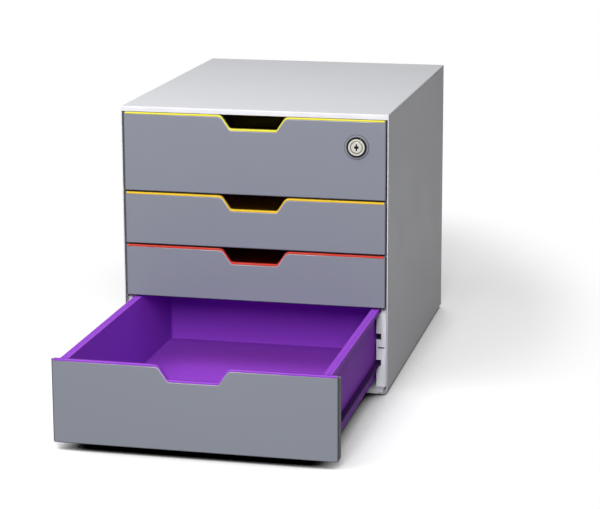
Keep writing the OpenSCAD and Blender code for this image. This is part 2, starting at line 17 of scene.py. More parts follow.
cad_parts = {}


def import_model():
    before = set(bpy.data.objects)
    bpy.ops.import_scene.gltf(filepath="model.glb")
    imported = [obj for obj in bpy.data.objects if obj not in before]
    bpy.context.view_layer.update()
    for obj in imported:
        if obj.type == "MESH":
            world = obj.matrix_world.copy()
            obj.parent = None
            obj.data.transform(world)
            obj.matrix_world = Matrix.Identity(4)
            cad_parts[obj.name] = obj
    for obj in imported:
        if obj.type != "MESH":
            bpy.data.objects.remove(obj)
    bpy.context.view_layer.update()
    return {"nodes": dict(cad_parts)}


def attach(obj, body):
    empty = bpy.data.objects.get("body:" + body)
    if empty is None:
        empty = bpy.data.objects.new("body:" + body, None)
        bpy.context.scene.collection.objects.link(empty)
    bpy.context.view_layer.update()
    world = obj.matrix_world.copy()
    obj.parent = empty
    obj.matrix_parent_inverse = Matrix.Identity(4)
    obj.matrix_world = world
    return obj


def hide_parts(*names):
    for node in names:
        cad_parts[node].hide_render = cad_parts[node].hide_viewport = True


LOG = logging.getLogger("file_drawer")
MM = 0.001
LOCK_CENTRE = (107.5, 258.0)

# Distances in millimetres below which two places count as one
EXACT, CLOSE = 1e-5, 1e-3

# Shares of a normal along an axis, from a face that looks that way to one seen edgewise
FACING, HALFWAY, LEANING, EDGEWISE, GRAZING = 0.9, 0.5, 0.3, 0.1, 0.02

Colour = tuple[float, float, float]
FaceTest = Callable[[Vector, Vector], bool]
PlaceTest = Callable[[Vector], bool]
Sockets = Mapping[str, bpy.types.NodeSocket]
Nodes = Mapping[str, bpy.types.Object]


class Axis(Enum):
    """The axis that an outline's plane is square to."""

    X = 0
    Y = 1
    Z = 2

    def point(self, a: float, b: float, level: float) -> Vector:
        """Places a point of an outline in space.

        Args:
            a: The first coordinate in the plane.
            b: The second coordinate in the plane.
            level: Where the plane lies along this axis.

        Returns:
            The point in space.
        """
        values = [a, b]
        values.insert(self.value, level)
        return Vector(values)

    def step(self, distance: float) -> Vector:
        """Returns a move of that distance along this axis."""
        return self.point(0.0, 0.0, distance)


class Side(Enum):
    """A side of the case, seen from the front."""

    LEFT = -1
    RIGHT = 1

    def span(self, start: float, width: float) -> tuple[float, float]:
        """Returns the lowest and highest x of a band on this side, given on the right."""
        return tuple(sorted((self.value * start, self.value * (start + width))))


@dataclass(frozen=True)
class Corner:
    """A corner of an outline, with the radius that rounds it."""

    a: float
    b: float
    radius: float = 0.0


@dataclass(frozen=True)
class Shading:
    """How dark the painted shade on a rounded edge gets as it turns away."""

    strength: float
    power: float
    most: float

    def at(self, turned: float) -> float:
        """Returns the painted shade of a face by its normal's share along the edge's axis."""
        return min(self.strength * turned**self.power, self.most)


def quarter(radius: float, steps: int) -> list[float]:
    """Returns how far each step of a quarter circle reaches."""
    return [radius * math.sin(math.radians(90 * step / steps)) for step in range(steps)]


class Workpiece:
    """A mesh in work, in millimetres, that becomes one piece of the object."""

    # Face layers that the materials read: the first lightens edges for wear from rubbing and as painted
    # highlights, the second paints shade.
    WEAR_AND_HIGHLIGHT = "rub"
    PAINTED_SHADE = "painted_shade"
    WIDE_RADIUS = 8.0
    SEGMENTS = 6
    WIDE_SEGMENTS = 12
    HOLE_MARGIN = 1.2
    HOLE_CUTS = 5
    FLAT_ANGLE = 1.0
    SHARP_ANGLE = 50.0
    NORMAL_WEIGHT = 60

    def __init__(self, name: str) -> None:
        """Starts an empty mesh.

        Args:
            name: The name of the finished piece.
        """
        self.name = name
        self.bm = bmesh.new()
        self.bm.loops.layers.float.new(self.WEAR_AND_HIGHLIGHT)
        self.bm.loops.layers.float.new(self.PAINTED_SHADE)

    def bevel(
        self, parts: list, width: float, segments: int, affect: str = "EDGES", clamp: bool = False
    ) -> dict[str, list]:
        """Rounds edges or the corners of a face.

        Args:
            parts: The edges or vertices.
            width: The bevel's width.
            segments: The number of its segments.
            affect: Whether edges or vertices are rounded.
            clamp: Whether the width shrinks to fit the shortest edges.

        Returns:
            The faces, edges and vertices that it made.
        """
        return bmesh.ops.bevel(
            self.bm,
            geom=parts,
            offset=width,
            offset_type="OFFSET",
            segments=segments,
            profile=0.5,
            affect=affect,
            material=-1,
            clamp_overlap=clamp,
        )

    def outline(self, corners: Sequence[Corner], axis: Axis, level: float) -> bmesh.types.BMFace:
        """Makes a flat face with rounded corners.

        Args:
            corners: The corners in order round the face.
            axis: The axis that the face is square to.
            level: Where the face lies along that axis.

        Returns:
            The face.
        """
        points = [axis.point(c.a, c.b, level) for c in corners]
        verts = [self.bm.verts.new(p) for p in points]
        self.bm.faces.new(verts)
        alive = verts[0]
        for i, corner in enumerate(corners):
            if corner.radius <= 0.0:
                continue
            into = points[i] - points[i - 1]
            out = points[(i + 1) % len(points)] - points[i]
            width = corner.radius * math.tan(into.angle(out) / 2)
            segments = self.SEGMENTS if corner.radius < self.WIDE_RADIUS else self.WIDE_SEGMENTS
            made = self.bevel([verts[i]], width, segments, "VERTICES")
            alive = made["verts"][0] if i == 0 or not alive.is_valid else alive
        return alive.link_faces[0]

    def push(self, faces: Iterable[bmesh.types.BMFace], step: Vector) -> list[bmesh.types.BMVert]:
        """Extrudes faces by a step.

        Args:
            faces: The faces that move.
            step: How far they move.

        Returns:
            The vertices of the moved faces.
        """
        region = list(faces)
        attached = any(f not in region for part in region for e in part.edges for f in e.link_faces)
        made = bmesh.ops.extrude_face_region(self.bm, geom=region)["geom"]
        verts = [part for part in made if isinstance(part, bmesh.types.BMVert)]
        if attached:
            bmesh.ops.delete(self.bm, geom=region, context="FACES")
        bmesh.ops.translate(self.bm, verts=verts, vec=step)
        return verts

    def prism(self, corners: Sequence[Corner], axis: Axis, start: float, end: float) -> None:
        """Makes a closed solid from an outline that moves along an axis from start to end."""
        self.push([self.outline(corners, axis, start)], axis.step(end - start))

    def box(self, low: Sequence[float], high: Sequence[float]) -> None:
        """Makes a block between two corners.

        Args:
            low: The lowest corner.
            high: The highest corner.
        """
        start, end = Vector(low), Vector(high)
        verts = bmesh.ops.create_cube(self.bm, size=1.0)["verts"]
        bmesh.ops.scale(self.bm, verts=verts, vec=end - start)
        bmesh.ops.translate(self.bm, verts=verts, vec=(start + end) / 2)

    def turn(self, profile: Sequence[Corner], centre: Sequence[float], steps: int = 96) -> None:
        """Spins a profile of radius and depth round a level axis along Y.

        Args:
            profile: The closed profile, with radii from the axis as a and depths as b.
            centre: The axis's x and z.
            steps: The number of steps in the full turn.
        """
        x, z = centre
        placed = [Corner(x + c.a, c.b, c.radius) for c in profile]
        face = self.outline(placed, Axis.Z, z)
        edges, verts = list(face.edges), list(face.verts)
        bmesh.ops.delete(self.bm, geom=[face], context="FACES_ONLY")
        on_axis = [e for e in edges if all(abs(v.co.x - x) < EXACT for v in e.verts)]
        bmesh.ops.delete(self.bm, geom=on_axis, context="EDGES_FACES")
        bmesh.ops.spin(
            self.bm,
            geom=[v for v in verts if v.is_valid] + [e for e in edges if e.is_valid],
            cent=(x, 0.0, z),
            axis=Axis.Y.step(1.0),
            angle=math.tau,
            steps=steps,
            use_merge=True,
        )
        poles = [v for v in self.bm.verts if math.hypot(v.co.x - x, v.co.z - z) < EXACT]
        bmesh.ops.remove_doubles(self.bm, verts=poles, dist=CLOSE)

    def cut(self, axis: Axis, *levels: float, within: FaceTest | None = None) -> None:
        """Cuts edges into faces where planes square to an axis cross them.

        Args:
            axis: The axis that the planes are square to.
            *levels: Where they lie.
            within: A test of the faces that are cut, or None for all faces.
        """
        for level in levels:
            faces = self.pick(within) if within else self.bm.faces[:]
            parts = list(dict.fromkeys(part for f in faces for part in (*f.verts, *f.edges, f)))
            bmesh.ops.bisect_plane(
                self.bm, geom=parts, dist=EXACT, plane_co=axis.step(level), plane_no=axis.step(1.0)
            )

    def trim(self, axis: Axis, level: float) -> None:
        """Takes away all that lies below a level along an axis and closes the cut.

        Args:
            axis: The axis that the cut is square to.
            level: Where it lies.
        """
        bmesh.ops.bisect_plane(
            self.bm,
            geom=[*self.bm.verts, *self.bm.edges, *self.bm.faces],
            dist=EXACT,
            plane_co=axis.step(level),
            plane_no=axis.step(1.0),
            clear_inner=True,
        )
        bmesh.ops.holes_fill(self.bm, edges=[e for e in self.bm.edges if e.is_boundary], sides=0)

    def orient(self) -> None:
        """Turns all faces outwards."""
        bmesh.ops.recalc_face_normals(self.bm, faces=self.bm.faces[:])

    def pick(self, test: FaceTest) -> list[bmesh.types.BMFace]:
        """Returns the faces whose centre and normal pass a test."""
        return [f for f in self.bm.faces if test(f.calc_center_median_weighted(), f.normal)]

    def border(self, faces: Sequence[bmesh.types.BMFace]) -> list[bmesh.types.BMEdge]:
        """Returns the edges round a group of faces."""
        return [e for f in faces for e in f.edges if sum(near in faces for near in e.link_faces) == 1]

    def punch_slot(self, low: Sequence[float], high: Sequence[float], wall: Sequence[float]) -> None:
        """Opens a slot, from low to high in x and z, through the two faces of a wall square to Y."""
        loops = self.window(low, high, wall)
        bmesh.ops.bridge_loops(self.bm, edges=[e for loop in loops for e in loop])

    def punch_round(self, centre: Sequence[float], radius: float, wall: Sequence[float]) -> None:
        """Opens a round hole through a wall that is square to Y.

        Args:
            centre: The hole's x and z.
            radius: The hole's radius.
            wall: The y of the wall's two faces.
        """
        reach = radius * self.HOLE_MARGIN
        low = [c - reach for c in centre]
        high = [c + reach for c in centre]
        rims = []
        for y, loop in zip(wall, self.window(low, high, wall)):
            split = bmesh.ops.subdivide_edges(self.bm, edges=loop, cuts=self.HOLE_CUTS)["geom_split"]
            border = [e for e in split if isinstance(e, bmesh.types.BMEdge)]
            place = Matrix.Translation((centre[0], y, centre[1])) @ Matrix.Rotation(math.pi / 2, 4, "X")
            circle = bmesh.ops.create_circle(self.bm, radius=radius, segments=len(border), matrix=place)
            rim = list(dict.fromkeys(e for v in circle["verts"] for e in v.link_edges))
            bmesh.ops.bridge_loops(self.bm, edges=border + rim)
            rims.extend(rim)
        bmesh.ops.bridge_loops(self.bm, edges=rims)

    def window(
        self, low: Sequence[float], high: Sequence[float], wall: Sequence[float]
    ) -> list[list[bmesh.types.BMEdge]]:
        """Takes a rectangle out of both faces of a wall that is square to Y.

        Args:
            low: The rectangle's lowest x and z.
            high: The rectangle's highest x and z.
            wall: The y of the wall's two faces.

        Returns:
            The edges round the rectangle, for each face of the wall.
        """
        self.cut(Axis.X, low[0], high[0])
        self.cut(Axis.Z, low[1], high[1])
        loops = []
        for y in wall:
            inside = self.pick(
                lambda c, n: abs(c.y - y) < CLOSE and low[0] < c.x < high[0] and low[1] < c.z < high[1]
            )
            loops.append(self.border(inside))
            bmesh.ops.delete(self.bm, geom=inside, context="FACES")
        return loops

    def copy_node(self, node: bpy.types.Object) -> None:
        """Takes over a CAD node's mesh, merged and cleared of its flat triangles.

        Args:
            node: The CAD node.
        """
        self.bm.from_mesh(node.data)
        bmesh.ops.remove_doubles(self.bm, verts=self.bm.verts[:], dist=CLOSE * MM)
        bmesh.ops.scale(self.bm, verts=self.bm.verts[:], vec=Vector.Fill(3, 1 / MM))
        bmesh.ops.dissolve_limit(
            self.bm,
            angle_limit=math.radians(self.FLAT_ANGLE),
            use_dissolve_boundaries=False,
            verts=self.bm.verts[:],
            edges=self.bm.edges[:],
        )

    def soften(
        self,
        width: float,
        segments: int = 2,
        least: float = 30.0,
        where: PlaceTest | None = None,
        clamp: bool = False,
    ) -> None:
        """Rounds the sharp edges and marks them for lightening, as wear from rubbing and as painted
        highlights.

        Args:
            width: The bevel's width.
            segments: The number of its segments.
            least: The least angle in degrees of an edge that is rounded.
            where: A test of an edge's middle, or None for all sharp edges.
            clamp: Whether the width shrinks to fit the shortest edges.
        """
        sharp = [
            e
            for e in self.bm.edges
            if e.is_manifold
            and e.calc_face_angle(0.0) > math.radians(least)
            and (where is None or where((e.verts[0].co + e.verts[1].co) / 2))
        ]
        made = self.bevel(sharp, width, segments, clamp=clamp)
        self.mark(made["faces"], self.WEAR_AND_HIGHLIGHT, 1.0)

    def roll_back(self, radius: float, front: float, past: Callable[[Vector], float]) -> None:
        """Moves the vertices near a front's edge back onto a quarter circle.

        Args:
            radius: The circle's radius.
            front: The depth up to which vertices move.
            past: How far beyond the circle's start a place lies.
        """
        for vert in self.bm.verts:
            reach = past(vert.co)
            if vert.co.y < front and reach > CLOSE:
                vert.co.y += radius - math.sqrt(max(radius**2 - reach**2, 0.0))
        self.orient()

    def mark(self, faces: Iterable[bmesh.types.BMFace], layer: str, value: float) -> None:
        """Writes a value that the materials read on some faces.

        Args:
            faces: The faces.
            layer: The attribute's name.
            value: The value.
        """
        attribute = self.bm.loops.layers.float[layer]
        for face in faces:
            for loop in face.loops:
                loop[attribute] = value

    def shade(self, darkness: float, test: FaceTest) -> None:
        """Paints shade on the faces that pass a test."""
        self.mark(self.pick(test), self.PAINTED_SHADE, darkness)

    def shade_round(self, shading: Shading, axis: Axis, test: FaceTest) -> None:
        """Paints shade on a rounded edge, the more so the further it turns along an axis."""
        for face in self.pick(test):
            self.mark([face], self.PAINTED_SHADE, shading.at(abs(face.normal[axis.value])))

    def finish(
        self,
        body: str,
        palette: "Palette",
        slot: str,
        replaces: Sequence[str],
        offset: Sequence[float] = (0.0, 0.0, 0.0),
    ) -> None:
        """Turns the mesh into a piece that rides on its body.

        Args:
            body: The CAD body that the piece moves with.
            palette: The materials.
            slot: The record's material slot.
            replaces: The CAD nodes that the piece stands for.
            offset: A last move of the whole mesh.
        """
        self.orient()
        loose = sum(not e.is_manifold for e in self.bm.edges)
        bmesh.ops.translate(self.bm, verts=self.bm.verts[:], vec=Vector(offset))
        bmesh.ops.scale(self.bm, verts=self.bm.verts[:], vec=Vector.Fill(3, MM))
        mesh = bpy.data.meshes.new(self.name)
        self.bm.to_mesh(mesh)
        self.bm.free()
        mesh.materials.clear()
        mesh.materials.append(palette[slot])
        mesh.shade_smooth()
        mesh.set_sharp_from_angle(angle=math.radians(self.SHARP_ANGLE))
        piece = bpy.data.objects.new(self.name, mesh)
        bpy.context.scene.collection.objects.link(piece)
        weighted = piece.modifiers.new("even_normals", "WEIGHTED_NORMAL")
        weighted.keep_sharp = True
        weighted.weight = self.NORMAL_WEIGHT
        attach(piece, body)
        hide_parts(*replaces)
        LOG.info("%s: %d faces on %s, %d open edges", self.name, len(mesh.polygons), body, loose)


# Materials


class NodeBench:
    """A node tree in work."""

    def __init__(self, tree: bpy.types.NodeTree) -> None:
        """Keeps the tree."""
        self.tree = tree

    def feed(self, node: bpy.types.Node, inputs: Mapping[str | int, object]) -> bpy.types.Node:
        """Sets or links a node's inputs.

        Args:
            node: The node.
            inputs: Values or output sockets, by the input's name or number.

        Returns:
            The node.
        """
        for name, value in inputs.items():
            socket = node.inputs[name]
            if isinstance(value, bpy.types.NodeSocket):
                self.tree.links.new(value, socket)
            else:
                socket.default_value = value
        return node

    def add(
        self, kind: str, inputs: Mapping[str | int, object] | None = None, **settings: object
    ) -> bpy.types.Node:
        """Adds a node.

        Args:
            kind: The node's type name.
            inputs: Values or output sockets for its inputs, by name or number.
            **settings: The node's own settings.

        Returns:
            The node.
        """
        node = self.tree.nodes.new(kind)
        for name, value in settings.items():
            setattr(node, name, value)
        return self.feed(node, inputs or {})

    def maths(self, operation: str, a: object, b: object = 0.0, clamp: bool = False) -> bpy.types.NodeSocket:
        """Adds a Math node and returns its output."""
        return self.add("ShaderNodeMath", {0: a, 1: b}, operation=operation, use_clamp=clamp).outputs[0]

    def vector_maths(self, operation: str, inputs: Mapping[str | int, object]) -> bpy.types.Node:
        """Adds a Vector Math node and returns it."""
        return self.add("ShaderNodeVectorMath", inputs, operation=operation)

    def mix(self, factor: object, a: object, b: object) -> bpy.types.NodeSocket:
        """Adds a colour mix and returns its output."""
        return self.add("ShaderNodeMix", {0: factor, 6: a, 7: b}, data_type="RGBA").outputs[2]

    def ramp(
        self,
        value: object,
        low: float = 0.0,
        high: float = 1.0,
        out: Sequence[float] = (0.0, 1.0),
        kind: str = "SMOOTHSTEP",
    ) -> bpy.types.NodeSocket:
        """Adds a Map Range from low and high to the two values of out and returns its output."""
        inputs = {0: value, 1: low, 2: high, 3: out[0], 4: out[1]}
        return self.add("ShaderNodeMapRange", inputs, interpolation_type=kind).outputs[0]

    def position(self) -> bpy.types.NodeSocket:
        """Returns the place on the piece that a pattern follows."""
        return self.add("ShaderNodeTexCoord").outputs["Object"]

    def carried(self, layer: str) -> bpy.types.NodeSocket:
        """Returns a value that the piece's faces carry."""
        node = self.add("ShaderNodeAttribute", attribute_name=layer, attribute_type="GEOMETRY")
        return node.outputs["Fac"]

    def noise(self, size: float, detail: float = 2.0, roughness: float = 0.5) -> bpy.types.NodeSocket:
        """Adds a noise whose features are about size millimetres and returns its value."""
        inputs = {"Vector": self.position(), "Scale": 1.0 / (size * MM), "Detail": detail}
        return self.add("ShaderNodeTexNoise", {**inputs, "Roughness": roughness}).outputs[0]

    def bump(self, height: bpy.types.NodeSocket, relief: float) -> bpy.types.NodeSocket:
        """Adds a bump of some millimetres and returns its normal."""
        inputs = {"Height": height, "Distance": relief * MM, "Strength": 1.0}
        return self.add("ShaderNodeBump", inputs).outputs["Normal"]


def rgba(colour: Colour) -> tuple[float, float, float, float]:
    """Returns a colour with full alpha."""
    return (*colour, 1.0)


def new_material(name: str) -> tuple[bpy.types.Material, NodeBench]:
    """Makes a material with nodes.

    Args:
        name: The material's name.

    Returns:
        The material and its node bench.
    """
    material = bpy.data.materials.new(name)
    material.use_nodes = True
    return material, NodeBench(material.node_tree)


@dataclass(frozen=True)
class Effect:
    """A shader node group that more than one material uses, built once."""

    name: str
    inputs: Mapping[str, object]
    outputs: tuple[str, ...]
    wiring: Callable[[NodeBench, Sockets], Sockets]

    @staticmethod
    def kind(label: str) -> str:
        """Returns the type of the socket with that label."""
        return "NodeSocketColor" if label == "Colour" else "NodeSocketFloat"

    def tree(self) -> bpy.types.NodeTree:
        """Gives the group's tree, and makes it at the first call.

        Returns:
            The tree.
        """
        found = bpy.data.node_groups.get(self.name)
        if found:
            return found
        tree = bpy.data.node_groups.new(self.name, "ShaderNodeTree")
        for label, value in self.inputs.items():
            made = tree.interface.new_socket(label, in_out="INPUT", socket_type=self.kind(label))
            made.default_value = value
        for label in self.outputs:
            tree.interface.new_socket(label, in_out="OUTPUT", socket_type=self.kind(label))
        bench = NodeBench(tree)
        bench.add("NodeGroupOutput", self.wiring(bench, bench.add("NodeGroupInput").outputs))
        return tree

    def place(self, bench: NodeBench, inputs: Mapping[str, object]) -> Sockets:
        """Places the group in a material and returns its outputs."""
        return bench.add("ShaderNodeGroup", inputs, node_tree=self.tree()).outputs


def wire_mould_grain(bench: NodeBench, given: Sockets) -> Sockets:
    """Wires the fine spark-eroded texture of a moulded face.

    Args:
        bench: The group's nodes.
        given: The group's inputs.

    Returns:
        The sockets for the group's outputs.
    """
    pit_scale, pit_share = 1.7, 0.5
    scaled = bench.vector_maths("SCALE", {0: bench.position(), "Scale": given["Scale"]}).outputs[0]
    fine = bench.add("ShaderNodeTexNoise", {"Vector": scaled, "Scale": 1.0, "Detail": 3.0})
    pits = bench.add("ShaderNodeTexVoronoi", {"Vector": scaled, "Scale": pit_scale})
    height = bench.maths("ADD", fine.outputs[0], bench.maths("MULTIPLY", pits.outputs[0], pit_share))
    return {"Height": height}


def wire_tone_drift(bench: NodeBench, given: Sockets) -> Sockets:
    """Wires slow and fine changes of a colour's lightness.

    Args:
        bench: The group's nodes.
        given: The group's inputs.

    Returns:
        The sockets for the group's outputs.
    """
    fine_share, middle = 0.6, 0.8
    slow = bench.noise(size=90.0)
    fine = bench.noise(size=1.4, detail=3.0)
    both = bench.maths("ADD", slow, bench.maths("MULTIPLY", fine, fine_share))
    swing = bench.maths("MULTIPLY", bench.maths("SUBTRACT", both, middle), given["Amount"])
    factor = bench.maths("ADD", swing, 1.0)
    return {"Colour": bench.vector_maths("SCALE", {0: given["Colour"], "Scale": factor}).outputs[0]}


def wire_edge_wear_and_highlight(bench: NodeBench, given: Sockets) -> Sockets:
    """Wires the lighter look of edges: wear from rubbing, and painted highlights.

    Args:
        bench: The group's nodes.
        given: The group's inputs.

    Returns:
        The sockets for the group's outputs.
    """
    wear_and_highlight_colour = rgba((0.9, 0.9, 0.92))
    patches = bench.ramp(bench.noise(size=22.0, detail=4.0), low=0.3, high=0.7, out=(0.55, 1.0))
    mask = bench.maths("MULTIPLY", bench.carried(Workpiece.WEAR_AND_HIGHLIGHT), patches)
    lift = bench.maths("MULTIPLY", mask, given["Lift"])
    return {"Colour": bench.mix(lift, given["Colour"], wear_and_highlight_colour)}


def wire_handling(bench: NodeBench, given: Sockets) -> Sockets:
    """Wires the smudges and hairline scratches of use into a roughness.

    Args:
        bench: The group's nodes.
        given: The group's inputs.

    Returns:
        The sockets for the group's outputs.
    """
    hair_scale, scratch_share = (60.0, 900.0, 900.0), 0.8
    smudge = bench.ramp(bench.noise(size=38.0, detail=5.0, roughness=0.62), low=0.42, high=0.68)
    drawn = bench.add("ShaderNodeMapping", {"Vector": bench.position(), "Scale": hair_scale})
    hair = bench.add("ShaderNodeTexNoise", {"Vector": drawn.outputs[0], "Scale": 1.0, "Detail": 1.0})
    scratch = bench.ramp(hair.outputs[0], low=0.66, high=0.72)
    change = bench.maths("SUBTRACT", bench.maths("MULTIPLY", scratch, scratch_share), smudge)
    swing = bench.maths("MULTIPLY", change, given["Amount"])
    return {"Roughness": bench.maths("ADD", given["Roughness"], swing, clamp=True)}


def wire_settled_dust(bench: NodeBench, given: Sockets) -> Sockets:
    """Wires a thin film of dust on faces that look up.

    Args:
        bench: The group's nodes.
        given: The group's inputs.

    Returns:
        The sockets for the group's outputs.
    """
    dust = rgba((0.62, 0.61, 0.59))
    up = bench.add("ShaderNodeSeparateXYZ", {0: bench.add("ShaderNodeNewGeometry").outputs["Normal"]})
    specks = bench.ramp(bench.noise(size=5.0, detail=6.0, roughness=0.7), low=0.45, high=0.75)
    level = bench.ramp(up.outputs["Z"], low=0.6, high=0.95)
    mask = bench.maths("MULTIPLY", bench.maths("MULTIPLY", specks, level), given["Amount"])
    return {"Colour": bench.mix(mask, given["Colour"], dust)}


def wire_painted_shade(bench: NodeBench, given: Sockets) -> Sockets:
    """Wires painted shade, which turns the marked faces near black."""
    dark, deep = rgba((0.004, 0.004, 0.004)), bench.carried(Workpiece.PAINTED_SHADE)
    return {"Colour": bench.mix(deep, given["Colour"], dark), "Mask": deep}


GREY = rgba((0.5, 0.5, 0.5))
MOULD_GRAIN = Effect("mould_grain", {"Scale": 2500.0}, ("Height",), wire_mould_grain)
TONE_DRIFT = Effect("tone_drift", {"Colour": GREY, "Amount": 0.05}, ("Colour",), wire_tone_drift)
# Lightens edges, for wear from rubbing and as painted highlights.
EDGE_WEAR_AND_HIGHLIGHT = Effect("edge_wear_and_highlight", {"Colour": GREY, "Lift": 0.2}, ("Colour",), wire_edge_wear_and_highlight)
HANDLING = Effect("handling", {"Roughness": 0.4, "Amount": 0.05}, ("Roughness",), wire_handling)
# Paints shade: turns marked faces near black.
PAINTED_SHADE_EFFECT = Effect("painted_shade_effect", {"Colour": GREY}, ("Colour", "Mask"), wire_painted_shade)
SETTLED_DUST = Effect("settled_dust", {"Colour": GREY, "Amount": 0.1}, ("Colour",), wire_settled_dust)


@dataclass(frozen=True)
class MouldedPlastic:
    """Moulded plastic with a fine mould texture, edges lightened by wear from rubbing and by painted
    highlights, painted shade and traces of use.
    """

    slot: str
    colour: Colour
    roughness: float = 0.45
    specular: float = 0.18
    grain: float = 0.4
    relief: float = 0.006
    drift: float = 0.03
    rub: float = 0.08
    smudge: float = 0.05
    dust: float = 0.02

    def build(self) -> bpy.types.Material:
        """Makes the material.

        Returns:
            The material, named after its slot.
        """
        material, bench = new_material(self.slot)
        drifted = TONE_DRIFT.place(bench, {"Colour": rgba(self.colour), "Amount": self.drift})
        # Edges lighten for wear from rubbing and as painted highlights; marked faces darken as painted
        # shade.
        wear_and_highlit = EDGE_WEAR_AND_HIGHLIGHT.place(bench, {"Colour": drifted["Colour"], "Lift": self.rub})
        dusty = SETTLED_DUST.place(bench, {"Colour": wear_and_highlit["Colour"], "Amount": self.dust})
        shade_painted = PAINTED_SHADE_EFFECT.place(bench, {"Colour": dusty["Colour"]})
        used = HANDLING.place(bench, {"Roughness": self.roughness, "Amount": self.smudge})
        grain = MOULD_GRAIN.place(bench, {"Scale": 1.0 / (self.grain * MM)})
        shader = bench.tree.nodes["Principled BSDF"]
        bench.feed(shader, {"Base Color": shade_painted["Colour"], "Roughness": used["Roughness"]})
        bench.feed(shader, {"Normal": bench.bump(grain["Height"], self.relief)})
        bench.feed(shader, {"Specular IOR Level": self.specular})
        return material


@dataclass(frozen=True)
class PlatedMetal:
    """Plated metal with the faint rings of turning round the lock's axis."""

    slot: str
    colour: Colour
    roughness: float
    rings: float = 0.25
    relief: float = 0.004
    grit: float = 0.5
    grit_share: float = 2.0
    centre: tuple[float, float] = LOCK_CENTRE
    drift: float = 0.08
    rub: float = 0.2
    smudge: float = 0.1

    def build(self) -> bpy.types.Material:
        """Makes the material.

        Returns:
            The material, named after its slot.
        """
        material, bench = new_material(self.slot)
        drifted = TONE_DRIFT.place(bench, {"Colour": rgba(self.colour), "Amount": self.drift})
        # Edges lighten for wear from rubbing and as painted highlights; marked faces turn black, rough and
        # non-metallic as painted shade.
        wear_and_highlit = EDGE_WEAR_AND_HIGHLIGHT.place(bench, {"Colour": drifted["Colour"], "Lift": self.rub})
        shade_painted = PAINTED_SHADE_EFFECT.place(bench, {"Colour": wear_and_highlit["Colour"]})
        used = HANDLING.place(bench, {"Roughness": self.roughness, "Amount": self.smudge})
        rough = bench.maths("MAXIMUM", used["Roughness"], shade_painted["Mask"])
        shader = bench.tree.nodes["Principled BSDF"]
        bench.feed(shader, {"Base Color": shade_painted["Colour"], "Roughness": rough})
        bench.feed(shader, {"Metallic": bench.maths("SUBTRACT", 1.0, shade_painted["Mask"])})
        bench.feed(shader, {"Normal": bench.bump(self.turning(bench), self.relief)})
        return material

    def turning(self, bench: NodeBench) -> bpy.types.NodeSocket:
        """Adds the height of the rings and of the grit on them.

        Args:
            bench: The material's nodes.

        Returns:
            The height.
        """
        x, z = self.centre
        inputs = {"Location": (-x * MM, 0.0, -z * MM), "Scale": (1.0, 0.0, 1.0)}
        axial = bench.add("ShaderNodeMapping", {"Vector": bench.position(), **inputs}).outputs[0]
        radius = bench.vector_maths("LENGTH", {0: axial}).outputs["Value"]
        wave = bench.maths("SINE", bench.maths("MULTIPLY", radius, math.tau / (self.rings * MM)))
        grit = bench.maths("MULTIPLY", bench.noise(self.grit, detail=3.0), self.grit_share)
        return bench.maths("ADD", wave, grit)


@dataclass(frozen=True)
class PadRubber:
    """Dark rubber with a dry, slightly mottled face."""

    slot: str
    colour: Colour
    roughness: float = 0.75
    grain: float = 0.7
    relief: float = 0.04
    drift: float = 0.5
    smudge: float = 0.1

    def build(self) -> bpy.types.Material:
        """Makes the material.

        Returns:
            The material, named after its slot.
        """
        material, bench = new_material(self.slot)
        drifted = TONE_DRIFT.place(bench, {"Colour": rgba(self.colour), "Amount": self.drift})
        used = HANDLING.place(bench, {"Roughness": self.roughness, "Amount": self.smudge})
        grain = MOULD_GRAIN.place(bench, {"Scale": 1.0 / (self.grain * MM)})
        shader = bench.tree.nodes["Principled BSDF"]
        bench.feed(shader, {"Base Color": drifted["Colour"], "Roughness": used["Roughness"]})
        bench.feed(shader, {"Normal": bench.bump(grain["Height"], self.relief)})
        return material


class Palette:
    """The finishes of the object, one for each material slot of the record."""

    FINISHES = (
        MouldedPlastic(
            "case_plastic",
            (0.60, 0.605, 0.63),
            roughness=0.55,
            specular=0.2,
            grain=0.45,
            relief=0.014,
            rub=0.1,
            dust=0.03,
        ),
        MouldedPlastic("runner_plastic", (0.78, 0.79, 0.81), specular=0.2, dust=0.03),
        MouldedPlastic(
            "front_plastic", (0.215, 0.228, 0.266), roughness=0.5, relief=0.012, drift=0.04, rub=0.45
        ),
        MouldedPlastic("lemon_plastic", (0.80, 0.73, 0.06)),
        MouldedPlastic("golden_plastic", (0.82, 0.52, 0.016)),
        MouldedPlastic("red_plastic", (0.62, 0.04, 0.02)),
        MouldedPlastic(
            "purple_plastic", (0.30, 0.06, 0.60), roughness=0.5, specular=0.02, drift=0.04, smudge=0.06
        ),
        PadRubber("foot_rubber", (0.03, 0.03, 0.03)),
        PlatedMetal("lock_nickel", (0.66, 0.64, 0.58), roughness=0.28),
        PlatedMetal("zinc_steel", (0.56, 0.57, 0.58), roughness=0.38, rings=0.6, relief=0.006),
    )

    def __init__(self) -> None:
        """Builds every material once."""
        self.materials = {finish.slot: finish.build() for finish in self.FINISHES}

    def __getitem__(self, slot: str) -> bpy.types.Material:
        """Returns a slot's material."""
        return self.materials[slot]


# Sub-assemblies


@dataclass(frozen=True)
class DrawerSpace:
    """One drawer's place in the case and its colour."""

    name: str
    low: float
    top: float
    slot: str
    opened: float = 0.0
    locks: bool = False

    @property
    def offset(self) -> tuple[float, float, float]:
        """How far the drawer stands open at rest."""
        return (0.0, -self.opened, 0.0)


